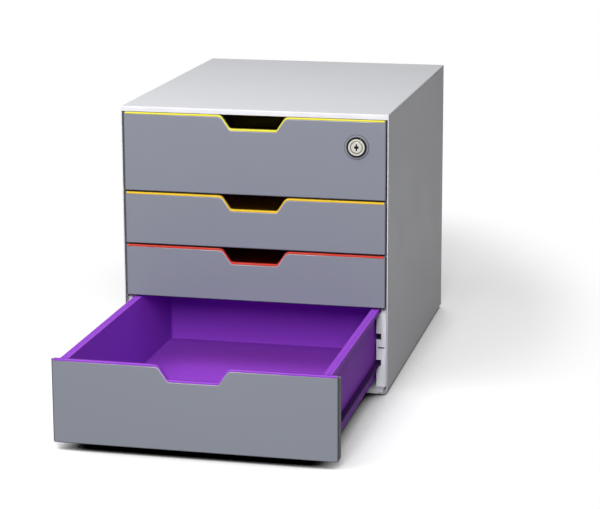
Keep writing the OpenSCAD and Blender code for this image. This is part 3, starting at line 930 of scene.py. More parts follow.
@dataclass(frozen=True)
class Notch:
    """The finger notch in a front's top edge."""

    top_width: float = 68.0
    bottom_width: float = 49.0
    depth: float = 14.0
    upper_radius: float = 6.0
    lower_radius: float = 3.0

    def edge(self, half: float, top: float) -> list[Corner]:
        """Gives a front's top edge with the notch.

        Args:
            half: Half the edge's length.
            top: The height of the edge.

        Returns:
            The corners from right to left.
        """
        wide, narrow, deep = self.top_width / 2, self.bottom_width / 2, top - self.depth
        return [
            Corner(half, top),
            Corner(wide, top, self.upper_radius),
            Corner(narrow, deep, self.lower_radius),
            Corner(-narrow, deep, self.lower_radius),
            Corner(-wide, top, self.upper_radius),
            Corner(-half, top),
        ]


@dataclass
class Lock:
    """The cam lock in the top drawer's front."""

    centre: tuple[float, float] = LOCK_CENTRE
    face: float = -180.0
    ring_face: float = -178.6
    ring_radius: float = 12.3
    ring_edge: float = 0.4
    ring_line: float = 0.6
    line_proud: float = 0.04
    line_shade: float = 0.6
    head_radius: float = 10.4
    head_drop: float = 0.3
    head_edge: float = 0.2
    barrel_radius: float = 8.6
    barrel_end: float = -160.4
    groove_radius: float = 10.0
    groove_width: float = 1.3
    groove_depth: float = 0.9
    groove_edges: tuple[float, float] = (0.4, 0.1)
    groove_margin: float = 0.3
    bore_edge: float = 0.75
    bore_shade: float = 0.9
    plug_radius: float = 5.7
    plug_fit: float = 0.05
    plug_edge: float = 0.25
    keyway: tuple[float, float] = (1.5, 7.0)
    wards: tuple[float, float] = (4.6, 2.4)
    keyway_depth: float = 12.0
    shaft_fit: float = 0.1
    shaft_overlap: float = 0.5
    square: float = 6.4
    square_overlap: float = 1.0
    cam_front: float = -160.1
    plug_end: float = -158.2

    def reach(self, place: Vector) -> float:
        """Returns a point's distance from the axis."""
        return math.hypot(place.x - self.centre[0], place.z - self.centre[1])

    def barrel(self, palette: Palette) -> None:
        """Builds the headed barrel with the ring groove in its face.

        Args:
            palette: The materials.
        """
        work = Workpiece("lock_barrel_turned")
        bore = self.plug_radius + self.plug_fit
        inner, outer = self.groove_radius - self.groove_width, self.groove_radius
        inner_edge, outer_edge = self.groove_edges
        profile = [
            Corner(bore, self.barrel_end),
            Corner(bore, self.face, self.bore_edge),
            Corner(inner, self.face, inner_edge),
            Corner(inner, self.face + self.groove_depth),
            Corner(outer, self.face + self.groove_depth),
            Corner(outer, self.face + self.head_drop, outer_edge),
            Corner(self.head_radius, self.face + self.head_drop, self.head_edge),
            Corner(self.head_radius, self.ring_face),
            Corner(self.barrel_radius, self.ring_face),
            Corner(self.barrel_radius, self.barrel_end),
        ]
        work.turn(profile, self.centre)
        work.orient()
        # Painted shade: black from the groove outwards, and dark round the bore.
        work.shade(1.0, lambda c, n: self.reach(c) > inner - self.groove_margin)
        work.shade(self.bore_shade, lambda c, n: self.reach(c) < bore + self.bore_edge)
        work.finish("top_drawer", palette, "lock_nickel", ["lock_barrel"])

    def plug(self, palette: Palette) -> None:
        """Builds the turning plug with its keyway, its shaft and the square that turns the cam.

        Args:
            palette: The materials.
        """
        work = Workpiece("lock_plug_turned")
        stop, start = self.face + self.keyway_depth, self.face + self.keyway_depth - self.shaft_overlap
        shaft = self.plug_radius - self.shaft_fit
        x, z = self.centre
        work.turn(
            [
                Corner(0.0, self.face),
                Corner(self.plug_radius, self.face, self.plug_edge),
                Corner(self.plug_radius, stop),
                Corner(0.0, stop),
            ],
            self.centre,
        )
        work.orient()
        self.open_keyway(work)
        profile = [
            Corner(0.0, start),
            Corner(shaft, start),
            Corner(shaft, self.cam_front),
            Corner(0.0, self.cam_front),
        ]
        work.turn(profile, self.centre)
        work.orient()
        # Painted shade on the shaft's front face, seen at the keyway's bottom.
        work.shade(1.0, lambda c, n: abs(c.y - start) < CLOSE)
        half, inside = self.square / 2, self.cam_front - self.square_overlap
        work.box((x - half, inside, z - half), (x + half, self.plug_end, z + half))
        work.finish("lock_core", palette, "lock_nickel", ["lock_plug"])

    def open_keyway(self, work: Workpiece) -> None:
        """Opens the keyway and its wards through the plug's front part.

        Args:
            work: The plug in work.
        """
        x, z = self.centre
        openings = (self.keyway, self.wards)
        for width, height in openings:
            work.cut(Axis.X, x - width / 2, x + width / 2)
            work.cut(Axis.Z, z - height / 2, z + height / 2)
        inside = work.pick(
            lambda c, n: abs(n.y) > FACING
            and any(abs(c.x - x) < width / 2 and abs(c.z - z) < height / 2 for width, height in openings)
        )
        border = work.border(inside)
        bmesh.ops.delete(work.bm, geom=inside, context="FACES")
        tunnel = bmesh.ops.bridge_loops(work.bm, edges=border)["faces"]
        # Painted shade inside the keyway.
        work.mark(tunnel, work.PAINTED_SHADE, 1.0)

    def build(self, palette: Palette, nodes: Nodes) -> None:
        """Builds the lock's pieces.

        Args:
            palette: The materials.
            nodes: The CAD nodes.
        """
        self.barrel(palette)
        self.plug(palette)
        soften_node(nodes, "lock_nut", "top_drawer", palette, "lock_nickel", width=0.4)
        soften_node(nodes, "lock_washer", "top_drawer", palette, "zinc_steel", width=0.12)
        soften_node(nodes, "lock_cam", "lock_core", palette, "zinc_steel", width=0.3)
        soften_node(nodes, "cam_screw", "lock_core", palette, "zinc_steel", width=0.2)


def soften_node(nodes: Nodes, name: str, body: str, palette: Palette, slot: str, width: float) -> None:
    """Replaces a CAD node with a copy whose sharp edges are rounded.

    Args:
        nodes: The CAD nodes.
        name: The node's name.
        body: The body that it rides on.
        palette: The materials.
        slot: Its material slot.
        width: The width of the rounding in millimetres.
    """
    work = Workpiece(name + "_softened")
    work.copy_node(nodes[name])
    work.soften(width, clamp=True)
    work.finish(body, palette, slot, [name])


@dataclass
class Drawer:
    """A drawer: its coloured tray, and the grey front clipped on it."""

    space: DrawerSpace
    lock: Lock
    notch: Notch = Notch()
    unit: float = 28.0
    seam: float = 0.1
    apart: float = 0.02

    # The grey front
    front_face: float = -178.0
    front_back: float = -168.0
    front_half: float = 138.1
    front_gap: float = 1.5
    front_radius: float = 2.5
    wall: float = 2.0
    rim_drop: float = 3.0
    mouth_edge: float = 0.5
    end_radius: float = 1.9
    end_steps: int = 8
    end_shading: Shading = Shading(strength=0.96, power=0.75, most=0.912)
    foot_radius: float = 1.1
    foot_steps: int = 4
    foot_shading: Shading = Shading(strength=1.0, power=0.6, most=1.0)

    # The clip tongues
    clip_x: float = 70.0
    clip_width: float = 8.0
    clip_rises: tuple[float, float] = (18.0, 24.0)
    clip_fit: float = 0.3
    tongue_half: float = 0.8
    barb_length: float = 1.4
    barb_heights: tuple[float, float] = (0.9, 1.6)

    # The tray and its strip
    tray_half: float = 124.6
    tray_back: float = 170.0
    tray_radius: float = 6.0
    tray_edge: float = 0.35
    floor_rise: float = 6.0
    floor: float = 2.0
    floor_fillet: float = 1.6
    wall_radius: float = 1.0
    wall_drop: float = 1.0
    strip_half: float = 135.9
    strip_height: float = 1.9
    strip_show: float = 1.7
    strip_shade: float = 0.48
    rim_half: float = 130.6
    rim_reach: float = 4.0
    rim: float = 2.0
    rim_line: tuple[float, float] = (127.1, 127.5)
    rim_line_depth: float = 0.3

    # The parts that run in the frames
    run_gap: float = 0.3
    groove: float = 6.0
    rail: tuple[float, float] = (22.3, 24.5)
    rail_half: float = 130.4
    rail_radius: float = 1.0
    rail_shade: float = 0.85
    lug: tuple[float, float] = (150.0, 158.0)
    lug_radius: float = 0.8

    @property
    def body(self) -> str:
        """The CAD body that the drawer is."""
        return f"{self.space.name}_drawer"

    @property
    def wall_front(self) -> float:
        """The outer face of the tray's front wall."""
        return self.front_face + self.wall + self.seam

    @property
    def wall_back(self) -> float:
        """The inner face of the tray's front wall."""
        return self.wall_front + self.wall

    @property
    def rim_top(self) -> float:
        """The height of the tray's rim."""
        return self.space.top - self.run_gap

    @property
    def clips(self) -> list[tuple[float, float]]:
        """The x and z of the four tongues."""
        heights = (self.space.low + self.clip_rises[0], self.space.top - self.clip_rises[1])
        return [(side.value * self.clip_x, z) for z in heights for side in Side]

    def build(self, palette: Palette) -> None:
        """Builds the tray and the front."""
        self.tray(palette)
        self.front(palette)

    def tray(self, palette: Palette) -> None:
        """Builds the tray with its rim, rails, front wall and strip.

        Args:
            palette: The materials.
        """
        work = Workpiece(f"{self.space.name}_tray_moulded")
        self.tub(work)
        self.turn_out_rim(work)
        self.running_lips(work)
        self.rim_groove(work)
        for side in Side:
            self.side_rail(work, side)
        work.soften(self.tray_edge)
        work.orient()
        # Painted shade on the rails.
        rail_top = self.space.low + self.rail[1] + CLOSE
        work.shade(self.rail_shade, lambda c, n: abs(c.x) > self.tray_half and c.z < rail_top)
        self.front_wall(work)
        self.shade_strip(work)
        work.finish(
            self.body, palette, self.space.slot, [f"{self.space.name}_drawer_tray"], self.space.offset
        )

    def tub(self, work: Workpiece) -> None:
        """Builds the tub, open at its front end.

        Args:
            work: The tray in work.
        """
        half, back, under = self.tray_half, self.tray_back, self.space.low + self.floor_rise
        middle = self.wall_back - self.wall / 2
        start = middle - 2 * self.wall
        corners = [
            Corner(-half, start),
            Corner(half, start),
            Corner(half, back, self.tray_radius),
            Corner(-half, back, self.tray_radius),
        ]
        work.prism(corners, Axis.Z, under, self.rim_top)
        work.orient()
        mouth = work.pick(lambda c, n: n.z > FACING)
        bmesh.ops.inset_region(work.bm, faces=mouth, thickness=self.wall, use_even_offset=True)
        inside = under + self.floor
        work.push(mouth, Axis.Z.step(inside - self.rim_top))
        work.orient()
        edges = [
            e
            for e in work.bm.edges
            if all(abs(v.co.z - inside) < CLOSE for v in e.verts) and e.calc_face_angle(0.0) > 1.0
        ]
        work.bevel(edges, self.floor_fillet, segments=4, clamp=True)
        work.trim(Axis.Y, middle)

    def turn_out_rim(self, work: Workpiece) -> None:
        """Turns the tub's top edge out to the rim.

        Args:
            work: The tray in work.
        """
        work.cut(Axis.Z, self.rim_top - self.rim)
        work.orient()
        band = work.pick(
            lambda c, n: c.z > self.rim_top - self.rim
            and abs(n.z) < EDGEWISE
            and n.x * math.copysign(1.0, c.x) + n.y > HALFWAY
        )
        for vert in work.push(band, Vector()):
            if abs(vert.co.x) > self.tray_half - self.tray_radius - CLOSE:
                vert.co.x += math.copysign(self.rim_half - self.tray_half, vert.co.x)
            if vert.co.y > self.tray_back - self.tray_radius - CLOSE:
                vert.co.y += self.rim_reach

    def running_lips(self, work: Workpiece) -> None:
        """Builds the lips under the rim's outer edges, which run in the grooves.

        Args:
            work: The tray in work.
        """
        under, end = self.rim_top - self.rim, self.tray_back - self.tray_radius
        inner = self.rim_half - self.rim
        work.cut(Axis.X, -inner, inner)
        work.cut(Axis.Y, end)
        work.orient()
        lips = work.pick(
            lambda c, n: n.z < -FACING and abs(c.z - under) < CLOSE and abs(c.x) > inner and c.y < end
        )
        low = self.rim_top - self.groove + 2 * self.run_gap
        work.push(lips, Axis.Z.step(low - self.rim_top + self.rim))
        work.orient()

    def rim_groove(self, work: Workpiece) -> None:
        """Sinks the thin line along the rims.

        Args:
            work: The tray in work.
        """
        top, end = self.rim_top - CLOSE, self.tray_back - self.tray_radius
        near, far = self.rim_line
        for level in (near, far):
            work.cut(Axis.X, -level, level, within=lambda c, n: n.z > FACING and c.z > top)
        line = work.pick(lambda c, n: n.z > FACING and c.z > top and near < abs(c.x) < far and c.y < end)
        work.push(line, Axis.Z.step(-self.rim_line_depth))
        work.orient()

    def side_rail(self, work: Workpiece, side: Side) -> None:
        """Builds a lower rail with the lug that meets the stop block.

        Args:
            work: The tray in work.
            side: The rail's side.
        """
        low, high = (self.space.low + rise for rise in self.rail)
        lug_top = self.space.low + self.unit - self.run_gap
        start, end = self.wall_back - self.wall / 2, self.tray_back - self.tray_radius + self.wall
        near, far = self.lug
        corners = [
            Corner(start, low),
            Corner(end, low, self.rail_radius),
            Corner(end, high, self.rail_radius),
            Corner(far, high),
            Corner(far, lug_top, self.lug_radius),
            Corner(near, lug_top, self.lug_radius),
            Corner(near, high),
            Corner(start, high),
        ]
        inner = self.tray_half - self.wall / 2
        work.prism(corners, Axis.X, side.value * inner, side.value * self.rail_half)

    def front_wall(self, work: Workpiece) -> None:
        """Builds the wall behind the front and the strip that caps the front.

        Args:
            work: The tray in work.
        """
        seat = Workpiece("front_wall")
        low = self.space.low + self.front_gap + self.wall + self.seam
        half, top = self.strip_half - self.apart, self.space.top
        faces = (self.wall_front, self.wall_back - self.apart)
        edge = self.notch.edge(half, top - self.wall_drop)
        foot = [Corner(-half, low, self.wall_radius), Corner(half, low, self.wall_radius)]
        seat.prism([*foot, *edge], Axis.Y, *faces)
        seat.orient()
        side, under = self.clip_width / 2 + self.clip_fit, self.tongue_half + self.clip_fit
        over = self.barb_heights[1] + self.clip_fit
        for x, z in self.clips:
            seat.punch_slot((x - side, z - under), (x + side, z + over), faces)
        if self.space.locks:
            seat.punch_round(self.lock.centre, self.lock.barrel_radius + self.seam, faces)
        upper = self.notch.edge(self.strip_half, top)
        lower = self.notch.edge(self.strip_half, top - self.strip_height)
        seat.prism([*upper, *reversed(lower)], Axis.Y, self.front_face, self.wall_back)
        seat.orient()
        seat.soften(self.tray_edge, segments=3)
        mesh = bpy.data.meshes.new("front_wall")
        seat.bm.to_mesh(mesh)
        seat.bm.free()
        work.bm.from_mesh(mesh)
        bpy.data.meshes.remove(mesh)

    def shade_strip(self, work: Workpiece) -> None:
        """Paints shade on the back part of the strip's top, under the front above it.

        Args:
            work: The tray in work.
        """
        ridge = self.front_face + self.strip_show
        low = self.space.top - self.notch.depth - self.strip_height
        work.orient()
        work.cut(Axis.Y, ridge, within=lambda c, n: n.z > LEANING and c.y < self.wall_front and c.z > low)
        work.orient()
        work.shade(
            self.strip_shade, lambda c, n: n.z > LEANING and ridge < c.y < self.wall_back and c.z > low
        )

    def front(self, palette: Palette) -> None:
        """Builds the grey shell under the strip, with its end returns and tongues.

        Args:
            palette: The materials.
        """
        work = Workpiece(f"{self.space.name}_front_moulded")
        back = self.front_face + self.wall
        self.shell(work, back)
        if self.space.locks:
            bore = self.lock.barrel_radius + self.seam
            work.punch_round(self.lock.centre, bore, (self.front_face, back))
        work.orient()
        self.round_ends(work)
        cover = self.strip_half + self.seam - self.apart / 2
        floor = self.space.low + self.front_gap + self.wall
        work.soften(
            self.mouth_edge,
            segments=3,
            where=lambda m: m.y < self.front_face + CLOSE and abs(m.x) < cover and m.z > floor,
        )
        self.round_foot(work)
        self.tongues(work)
        if self.space.locks:
            self.lock_seat(work)
        work.finish(
            self.body, palette, "front_plastic", [f"{self.space.name}_drawer_front"], self.space.offset
        )

    def shell(self, work: Workpiece, back: float) -> None:
        """Builds the front's plate with the returns at its ends and foot.

        Args:
            work: The front in work.
            back: The plate's inner face.
        """
        top, low, half = self.space.top, self.space.low + self.front_gap, self.front_half
        under, cover = top - self.strip_height - 2 * self.seam, self.strip_half + self.seam
        corners = [
            Corner(-half, low, self.front_radius),
            Corner(half, low, self.front_radius),
            Corner(half, top, self.wall / 2),
            Corner(cover, top),
            *self.notch.edge(cover, under),
            Corner(-cover, top),
            Corner(-half, top, self.wall / 2),
        ]
        work.prism(corners, Axis.Y, self.front_face, back)
        work.orient()
        inner, floor, ends = half - self.wall, low + self.wall, top - self.rim_drop
        work.cut(Axis.X, -inner, inner, within=lambda c, n: n.y > FACING)
        work.cut(Axis.Z, floor, within=lambda c, n: n.y > FACING and abs(c.x) < inner)
        work.cut(Axis.Z, ends, within=lambda c, n: n.y > FACING and abs(c.x) > inner or abs(n.x) > FACING)
        returns = work.pick(lambda c, n: n.y > FACING and (abs(c.x) > inner and c.z < ends or c.z < floor))
        work.push(returns, Axis.Y.step(self.front_back - back))

    def round_ends(self, work: Workpiece) -> None:
        """Rounds the front's two upright edges and paints shade on them.

        Args:
            work: The front in work.
        """
        start, flat = self.front_half - self.end_radius, self.front_face + CLOSE
        for reach in quarter(self.end_radius, self.end_steps):
            level = start + reach
            work.cut(Axis.X, -level, level, within=lambda c, n: n.y < -FACING and c.y < flat)
        work.roll_back(self.end_radius, flat, lambda place: abs(place.x) - start)
        work.shade_round(
            self.end_shading,
            Axis.X,
            lambda c, n: abs(c.x) > start and n.y < EDGEWISE and abs(n.z) < EDGEWISE,
        )

    def round_foot(self, work: Workpiece) -> None:
        """Rounds the front's lower edge and paints shade on it.

        Args:
            work: The front in work.
        """
        start = self.space.low + self.front_gap + self.foot_radius
        front = self.front_face + self.end_radius - CLOSE
        for reach in quarter(self.foot_radius, self.foot_steps):
            work.cut(Axis.Z, start - reach, within=lambda c, n: n.y < -LEANING and c.y < front)
        work.roll_back(self.foot_radius, front, lambda place: start - place.z)
        work.shade_round(
            self.foot_shading, Axis.Z, lambda c, n: c.z < start and c.y < front and n.z < -EDGEWISE
        )

    def tongues(self, work: Workpiece) -> None:
        """Builds the four tongues whose barbs hold behind the tray's wall.

        Args:
            work: The front in work.
        """
        start, barb = self.front_face + self.wall / 2, self.wall_back + self.seam
        half, tip, (low, high) = self.tongue_half, barb + self.barb_length, self.barb_heights
        for x, z in self.clips:
            corners = [
                Corner(start, z - half),
                Corner(tip, z - half),
                Corner(tip, z + low),
                Corner(barb, z + high),
                Corner(barb, z + half),
                Corner(start, z + half),
            ]
            work.prism(corners, Axis.X, x - self.clip_width / 2, x + self.clip_width / 2)

    def lock_seat(self, work: Workpiece) -> None:
        """Builds the raised ring round the lock, with a thin step at its foot that carries a painted shadow
        line.

        Args:
            work: The front in work.
        """
        lock = self.lock
        bore, ring = lock.barrel_radius + 2 * self.seam, lock.ring_radius
        outer, line = ring + lock.ring_line, self.front_face - lock.line_proud
        back = self.front_face + self.wall - lock.ring_line
        profile = [
            Corner(bore, lock.ring_face),
            Corner(ring, lock.ring_face, lock.ring_edge),
            Corner(ring, line),
            Corner(outer, line),
            Corner(outer, back),
            Corner(bore, back),
        ]
        work.turn(profile, lock.centre)
        work.orient()
        near, far, deep = ring - self.seam / 2, outer + self.seam / 2, self.front_face + self.wall / 2
        work.shade(lock.line_shade, lambda c, n: near < lock.reach(c) < far and c.y < deep)


@dataclass
class Case:
    """The case: panels, runner frames, foot pads and the strike of the lock."""

    half_width: float = 140.0
    half_depth: float = 178.0
    height: float = 292.0
    edge: float = 0.3
    fit: float = 0.1
    apart: float = 0.02

    # The top panel
    plate_under: float = 289.5
    plate_edge: float = 0.35
    top_under: float = 286.5
    top_radius: float = 1.2
    bar: float = 6.0
    bar_highlight: float = 4.6
    bar_shade: float = 0.8
    bar_overlap: float = 0.5
    root: float = 0.8
    skirt: float = 2.0
    skirt_end: float = 1.0
    rib: float = 1.6
    rib_rise: float = 1.0
    rib_places: tuple[float, ...] = (-89.0, 0.0, 89.0)

    # The side panels
    side: float = 1.4
    side_edge: float = 0.6
    side_shade: float = 0.95
    side_low: float = 1.0
    flange_in: float = 131.0
    lower_radius: float = 4.0

    # The runner frames and the back panel
    groove: tuple[float, float] = (126.8, 131.9)
    groove_shade: float = 0.95
    back: float = 2.5
    base: float = 6.0
    border: float = 14.0
    field_depth: float = 0.8

    @property
    def side_in(self) -> float:
        """The inner face of the side panels."""
        return self.half_width - self.side

    @property
    def bar_back(self) -> float:
        """The back face of the deeper front edge of the top."""
        return self.bar - self.half_depth

    def build(self, palette: Palette, nodes: Nodes) -> None:
        """Builds the case's pieces.

        Args:
            palette: The materials.
            nodes: The CAD nodes.
        """
        self.top_panel(palette)
        for side in Side:
            self.side_panel(side, palette)
            self.runner_frame(side, palette, nodes)
        self.back_panel(palette)
        soften_node(nodes, "base_panel", "case", palette, "case_plastic", self.edge)
        for name in ("front_left_foot", "front_right_foot", "back_left_foot", "back_right_foot"):
            soften_node(nodes, name, "case", palette, "foot_rubber", width=0.4)
        for name in ("strike_plate", "strike_screws"):
            soften_node(nodes, name, "case", palette, "zinc_steel", width=0.2)

    def top_panel(self, palette: Palette) -> None:
        """Builds the top: a plate with a deeper front edge, skirts and ribs.

        Args:
            palette: The materials.
        """
        work = Workpiece("top_panel_moulded")
        half, deep, behind = self.half_width, self.half_depth, self.bar_back
        work.box((-half, -deep, self.plate_under), (half, deep, self.height))
        work.cut(Axis.Y, behind)
        work.orient()
        bar = work.pick(lambda c, n: n.z < -FACING and c.y < behind)
        work.push(bar, Axis.Z.step(self.top_under - self.plate_under))
        work.orient()
        top = self.height - CLOSE
        work.soften(self.top_radius, segments=5, least=60.0, where=lambda m: m.z > top)
        work.soften(self.plate_edge, segments=3)
        work.orient()
        # Painted highlight on the front faces of the top, through the edge lightening, and painted shade
        # under its deeper front edge.
        work.mark(work.pick(lambda c, n: n.y < -FACING and c.y < 0.0), work.WEAR_AND_HIGHLIGHT, self.bar_highlight)
        work.shade(self.bar_shade, lambda c, n: n.z < -LEANING and c.y < behind)
        self.skirts(work)
        work.finish("case", palette, "case_plastic", ["top_panel"])

    def skirts(self, work: Workpiece) -> None:
        """Builds the skirts and ribs under the top, rooted in its plate.

        Args:
            work: The top panel in work.
        """
        edge, root, gap = self.side_in - self.fit, self.plate_under + self.root, self.apart
        start, end = self.bar_back - self.bar_overlap, self.half_depth - self.back - self.fit
        stop, low = end - self.skirt_end, self.top_under + self.rib_rise
        for side in Side:
            near, far = side.span(edge - self.skirt, self.skirt)
            work.box((near, start, self.top_under), (far, stop, root))
        edge_in = edge - gap
        work.box((-edge_in, end - self.skirt, self.top_under + gap), (edge_in, end, root + gap))
        for side in Side:
            near, far = side.span(self.half_width / 3, self.rib)
            work.box((near, start, low), (far, stop, root + 2 * gap))
        reach = edge - self.skirt / 2
        for place in self.rib_places:
            work.box((-reach, place, low + gap), (reach, place + self.rib, root + 3 * gap))

    def side_panel(self, side: Side, palette: Palette) -> None:
        """Builds a side wall that turns in under the base and clears the top panel's bar.

        Args:
            side: The panel's side.
            palette: The materials.
        """
        work = Workpiece(f"{side.name.lower()}_side_panel_moulded")
        out, into, flange = self.half_width, self.side_in, self.side_low + self.side
        corners = [
            Corner(out, self.top_under),
            Corner(into, self.top_under),
            Corner(into, flange, self.lower_radius - self.side),
            Corner(self.flange_in, flange),
            Corner(self.flange_in, self.side_low),
            Corner(out, self.side_low, self.lower_radius),
        ]
        placed = [Corner(side.value * c.a, c.b, c.radius) for c in corners]
        work.prism(placed, Axis.Y, -self.half_depth, self.half_depth)
        work.cut(Axis.Y, self.bar_back)
        work.orient()
        top = self.top_under - CLOSE
        shoulder = work.pick(lambda c, n: n.z > FACING and c.z > top and c.y > self.bar_back)
        work.push(shoulder, Axis.Z.step(self.plate_under - self.top_under))
        work.orient()
        self.round_mouth(work, into, flange)
        work.soften(self.edge, segments=3)
        work.finish("case", palette, "case_plastic", [f"{side.name.lower()}_side_panel"])

    def round_mouth(self, work: Workpiece, into: float, flange: float) -> None:
        """Rounds a side panel's inner front edge and paints shade on it.

        Args:
            work: The side panel in work.
            into: The panel's inner face.
            flange: The top of the part that turns in.
        """
        front, beside, above = CLOSE - self.half_depth, into + self.apart / 2, flange - self.apart / 2
        work.soften(
            self.side_edge,
            segments=4,
            where=lambda m: m.y < front and abs(m.x) < beside and m.z > above,
        )
        work.orient()
        mouth, far = self.side_edge - self.half_depth, into + self.side_edge
        work.shade(
            self.side_shade, lambda c, n: GRAZING < -n.y < 1.0 - GRAZING and c.y < mouth and abs(c.x) < far
        )

    def runner_frame(self, side: Side, palette: Palette, nodes: Nodes) -> None:
        """Rounds a runner frame's edges and paints shade on the insides of its grooves.

        Args:
            side: The frame's side.
            palette: The materials.
            nodes: The CAD nodes.
        """
        name = f"{side.name.lower()}_runner_frame"
        work = Workpiece(name + "_softened")
        work.copy_node(nodes[name])
        work.soften(self.edge, clamp=True)
        work.orient()
        near, far = self.groove
        work.shade(self.groove_shade, lambda c, n: near < abs(c.x) < far and abs(n.y) < HALFWAY)
        work.finish("case", palette, "runner_plastic", [name])

    def back_panel(self, palette: Palette) -> None:
        """Builds the back with the shallow field in its outer face.

        Args:
            palette: The materials.
        """
        work = Workpiece("back_panel_moulded")
        edge = self.side_in - self.fit
        work.box((-edge, self.half_depth - self.back, self.base), (edge, self.half_depth, self.plate_under))
        work.orient()
        outer = work.pick(lambda c, n: n.y > FACING)
        bmesh.ops.inset_region(work.bm, faces=outer, thickness=self.border, use_even_offset=True)
        work.push(outer, Axis.Y.step(-self.field_depth))
        work.orient()
        work.soften(self.edge, segments=3)
        work.finish("case", palette, "case_plastic", ["back_panel"])


# Studio


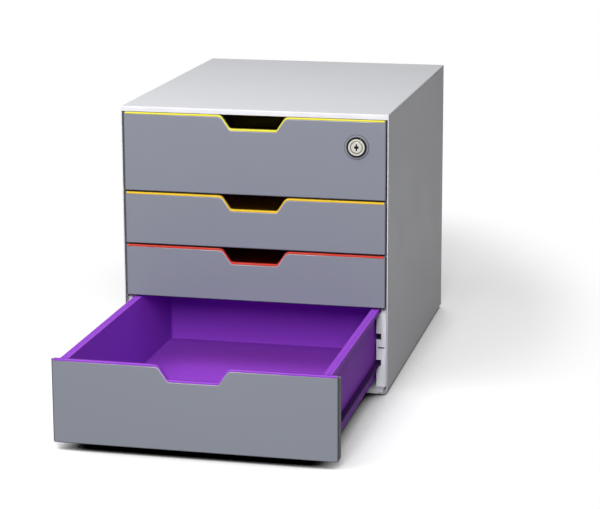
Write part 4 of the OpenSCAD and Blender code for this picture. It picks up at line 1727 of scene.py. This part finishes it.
@dataclass
class Studio:
    """The pale floor, the soft lights and the photograph's camera."""

    # The camera, with its place in millimetres and its focal length in pixels of the photograph
    eye: tuple[float, float, float] = (493.7, -2119.4, 627.5)
    yaw: float = -12.907
    pitch: float = -12.267
    roll: float = -0.204
    focal: float = 2002.0
    frame_width: float = 600.0
    sensor_width: float = 36.0
    shift: float = -0.08
    sight: float = 60.0

    # The lights, with lengths in metres
    ambient: float = 0.16
    aim: tuple[float, float, float] = (0.0, -0.1, 0.12)
    light_size: float = 0.9
    key: tuple[float, float, float] = (-0.34, -0.42, 0.84)
    key_level: float = 0.65
    key_distance: float = 1.4
    fill: tuple[float, float, float] = (0.14, -0.86, 0.46)
    fill_level: float = 0.78
    fill_distance: float = 2.4

    # The floor, with lengths in metres
    floor_reach: float = 14.0
    floor_cells: int = 8
    floor_bounce: float = 0.25
    floor_grey: float = 0.68
    floor_lift: float = 0.44
    contact_reach: float = 0.16
    contact: tuple[float, float] = (0.24, 0.62)
    contact_samples: int = 16
    fade_shape: tuple[float, float, float] = (1.6, 0.8, 1.0)
    fade: tuple[float, float] = (0.4, 0.6)

    def build(self) -> None:
        """Builds the camera, lights, world and floor."""
        self.camera()
        self.light("key_light", self.key, self.key_distance, self.key_level)
        self.light("fill_light", self.fill, self.fill_distance, self.fill_level)
        self.world()
        self.floor()

    def camera(self) -> None:
        """Places the camera at the photograph's point of view."""
        yaw, pitch, roll = (math.radians(v) for v in (self.yaw, self.pitch, self.roll))
        forward = Vector(
            (math.sin(yaw) * math.cos(pitch), math.cos(yaw) * math.cos(pitch), math.sin(pitch))
        )
        level = forward.cross(Axis.Z.step(1.0)).normalized()
        upright = level.cross(forward)
        right = level * math.cos(roll) + upright * math.sin(roll)
        up = upright * math.cos(roll) - level * math.sin(roll)
        data = bpy.data.cameras.new("camera")
        data.sensor_width = self.sensor_width
        data.lens = self.focal / self.frame_width * data.sensor_width
        data.shift_y = self.shift
        data.clip_end = self.sight
        camera = bpy.data.objects.new("camera", data)
        turned = Matrix((right, up, -forward)).transposed().to_4x4()
        camera.matrix_world = Matrix.Translation(Vector(self.eye) * MM) @ turned
        bpy.context.scene.collection.objects.link(camera)
        bpy.context.scene.camera = camera

    def light(self, name: str, towards: Sequence[float], distance: float, level: float) -> None:
        """Adds a square soft light that looks at the case.

        Args:
            name: The light's name.
            towards: The direction that it stands in, seen from the case.
            distance: How far away it stands in metres.
            level: The brightness that it gives to a white face that looks at it.
        """
        direction = Vector(towards).normalized()
        data = bpy.data.lights.new(name, "AREA")
        data.shape = "SQUARE"
        data.size = self.light_size
        data.energy = level * math.pi**2 * distance**2
        lamp = bpy.data.objects.new(name, data)
        lamp.location = Vector(self.aim) + direction * distance
        lamp.rotation_euler = direction.to_track_quat("Z", "Y").to_euler()
        bpy.context.scene.collection.objects.link(lamp)

    def world(self) -> None:
        """Makes the room: white where it is seen, and a soft grey fill elsewhere."""
        world = bpy.data.worlds.new("room")
        bpy.context.scene.world = world
        world.use_nodes = True
        bench = NodeBench(world.node_tree)
        strength = bench.ramp(self.seen_directly(bench), out=(self.ambient, 1.0), kind="LINEAR")
        background = world.node_tree.nodes["Background"]
        bench.feed(background, {"Color": rgba((1.0, 1.0, 1.0)), "Strength": strength})

    def seen_directly(self, bench: NodeBench) -> bpy.types.NodeSocket:
        """Adds a mask of the rays from the camera and those through gloss and glass.

        Args:
            bench: The nodes that it joins.

        Returns:
            The mask.
        """
        path = bench.add("ShaderNodeLightPath").outputs
        first = bench.maths("MAXIMUM", path["Is Camera Ray"], path["Is Glossy Ray"])
        return bench.maths("MAXIMUM", first, path["Is Transmission Ray"])

    def floor(self) -> None:
        """Makes the pale floor, which shows as white and keeps the object's shadow."""
        bm = bmesh.new()
        cells = self.floor_cells
        bmesh.ops.create_grid(bm, x_segments=cells, y_segments=cells, size=self.floor_reach)
        mesh = bpy.data.meshes.new("floor")
        bm.to_mesh(mesh)
        bm.free()
        floor = bpy.data.objects.new("floor", mesh)
        bpy.context.scene.collection.objects.link(floor)
        material, bench = new_material("floor")
        bench.tree.nodes.remove(bench.tree.nodes["Principled BSDF"])
        bounce = bench.add("ShaderNodeBsdfDiffuse", {"Color": rgba((self.floor_bounce,) * 3)})
        seen = self.floor_seen(bench)
        inputs = {0: self.seen_directly(bench), 1: bounce.outputs[0], 2: seen}
        shown = bench.add("ShaderNodeMixShader", inputs).outputs[0]
        bench.feed(bench.tree.nodes["Material Output"], {"Surface": shown})
        mesh.materials.append(material)

    def floor_seen(self, bench: NodeBench) -> bpy.types.NodeSocket:
        """Adds what is seen of the floor: near the object its cast shadow, deepened by painted shade from
        ambient occlusion, and white further out.

        Args:
            bench: The floor's nodes.

        Returns:
            The shader.
        """
        inputs = {"Distance": self.contact_reach}
        around = bench.add("ShaderNodeAmbientOcclusion", inputs, samples=self.contact_samples)
        clear = bench.ramp(around.outputs["AO"], *self.contact, kind="LINEAR")
        grey = bench.mix(clear, rgba((0.0, 0.0, 0.0)), rgba((self.floor_grey,) * 3))
        shaded = bench.add("ShaderNodeBsdfDiffuse", {"Color": grey})
        lift = bench.add("ShaderNodeEmission", {"Strength": bench.maths("MULTIPLY", clear, self.floor_lift)})
        near = bench.add("ShaderNodeAddShader", {0: shaded.outputs[0], 1: lift.outputs[0]})
        white = bench.add("ShaderNodeEmission", {"Strength": 1.0})
        squeezed = bench.vector_maths("MULTIPLY", {0: bench.position(), 1: self.fade_shape})
        distance = bench.vector_maths("LENGTH", {0: squeezed.outputs[0]})
        away = bench.ramp(distance.outputs["Value"], *self.fade)
        inputs = {0: away, 1: near.outputs[0], 2: white.outputs[0]}
        return bench.add("ShaderNodeMixShader", inputs).outputs[0]


DRAWERS = (
    DrawerSpace("top", 202.0, 286.0, "lemon_plastic", locks=True),
    DrawerSpace("upper", 146.0, 202.0, "golden_plastic"),
    DrawerSpace("lower", 90.0, 146.0, "red_plastic"),
    DrawerSpace("bottom", 6.0, 90.0, "purple_plastic", opened=234.0),
)


def main() -> None:
    """Builds the object's looks and the studio round the CAD frame."""
    logging.basicConfig(level=logging.INFO, format="%(name)s: %(message)s")
    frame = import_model()
    bpy.context.scene.view_settings.view_transform = "Standard"
    palette = Palette()
    lock = Lock()
    Case().build(palette, frame["nodes"])
    for space in DRAWERS:
        Drawer(space, lock).build(palette)
    lock.build(palette, frame["nodes"])
    Studio().build()


if __name__ == "__main__":
    main()
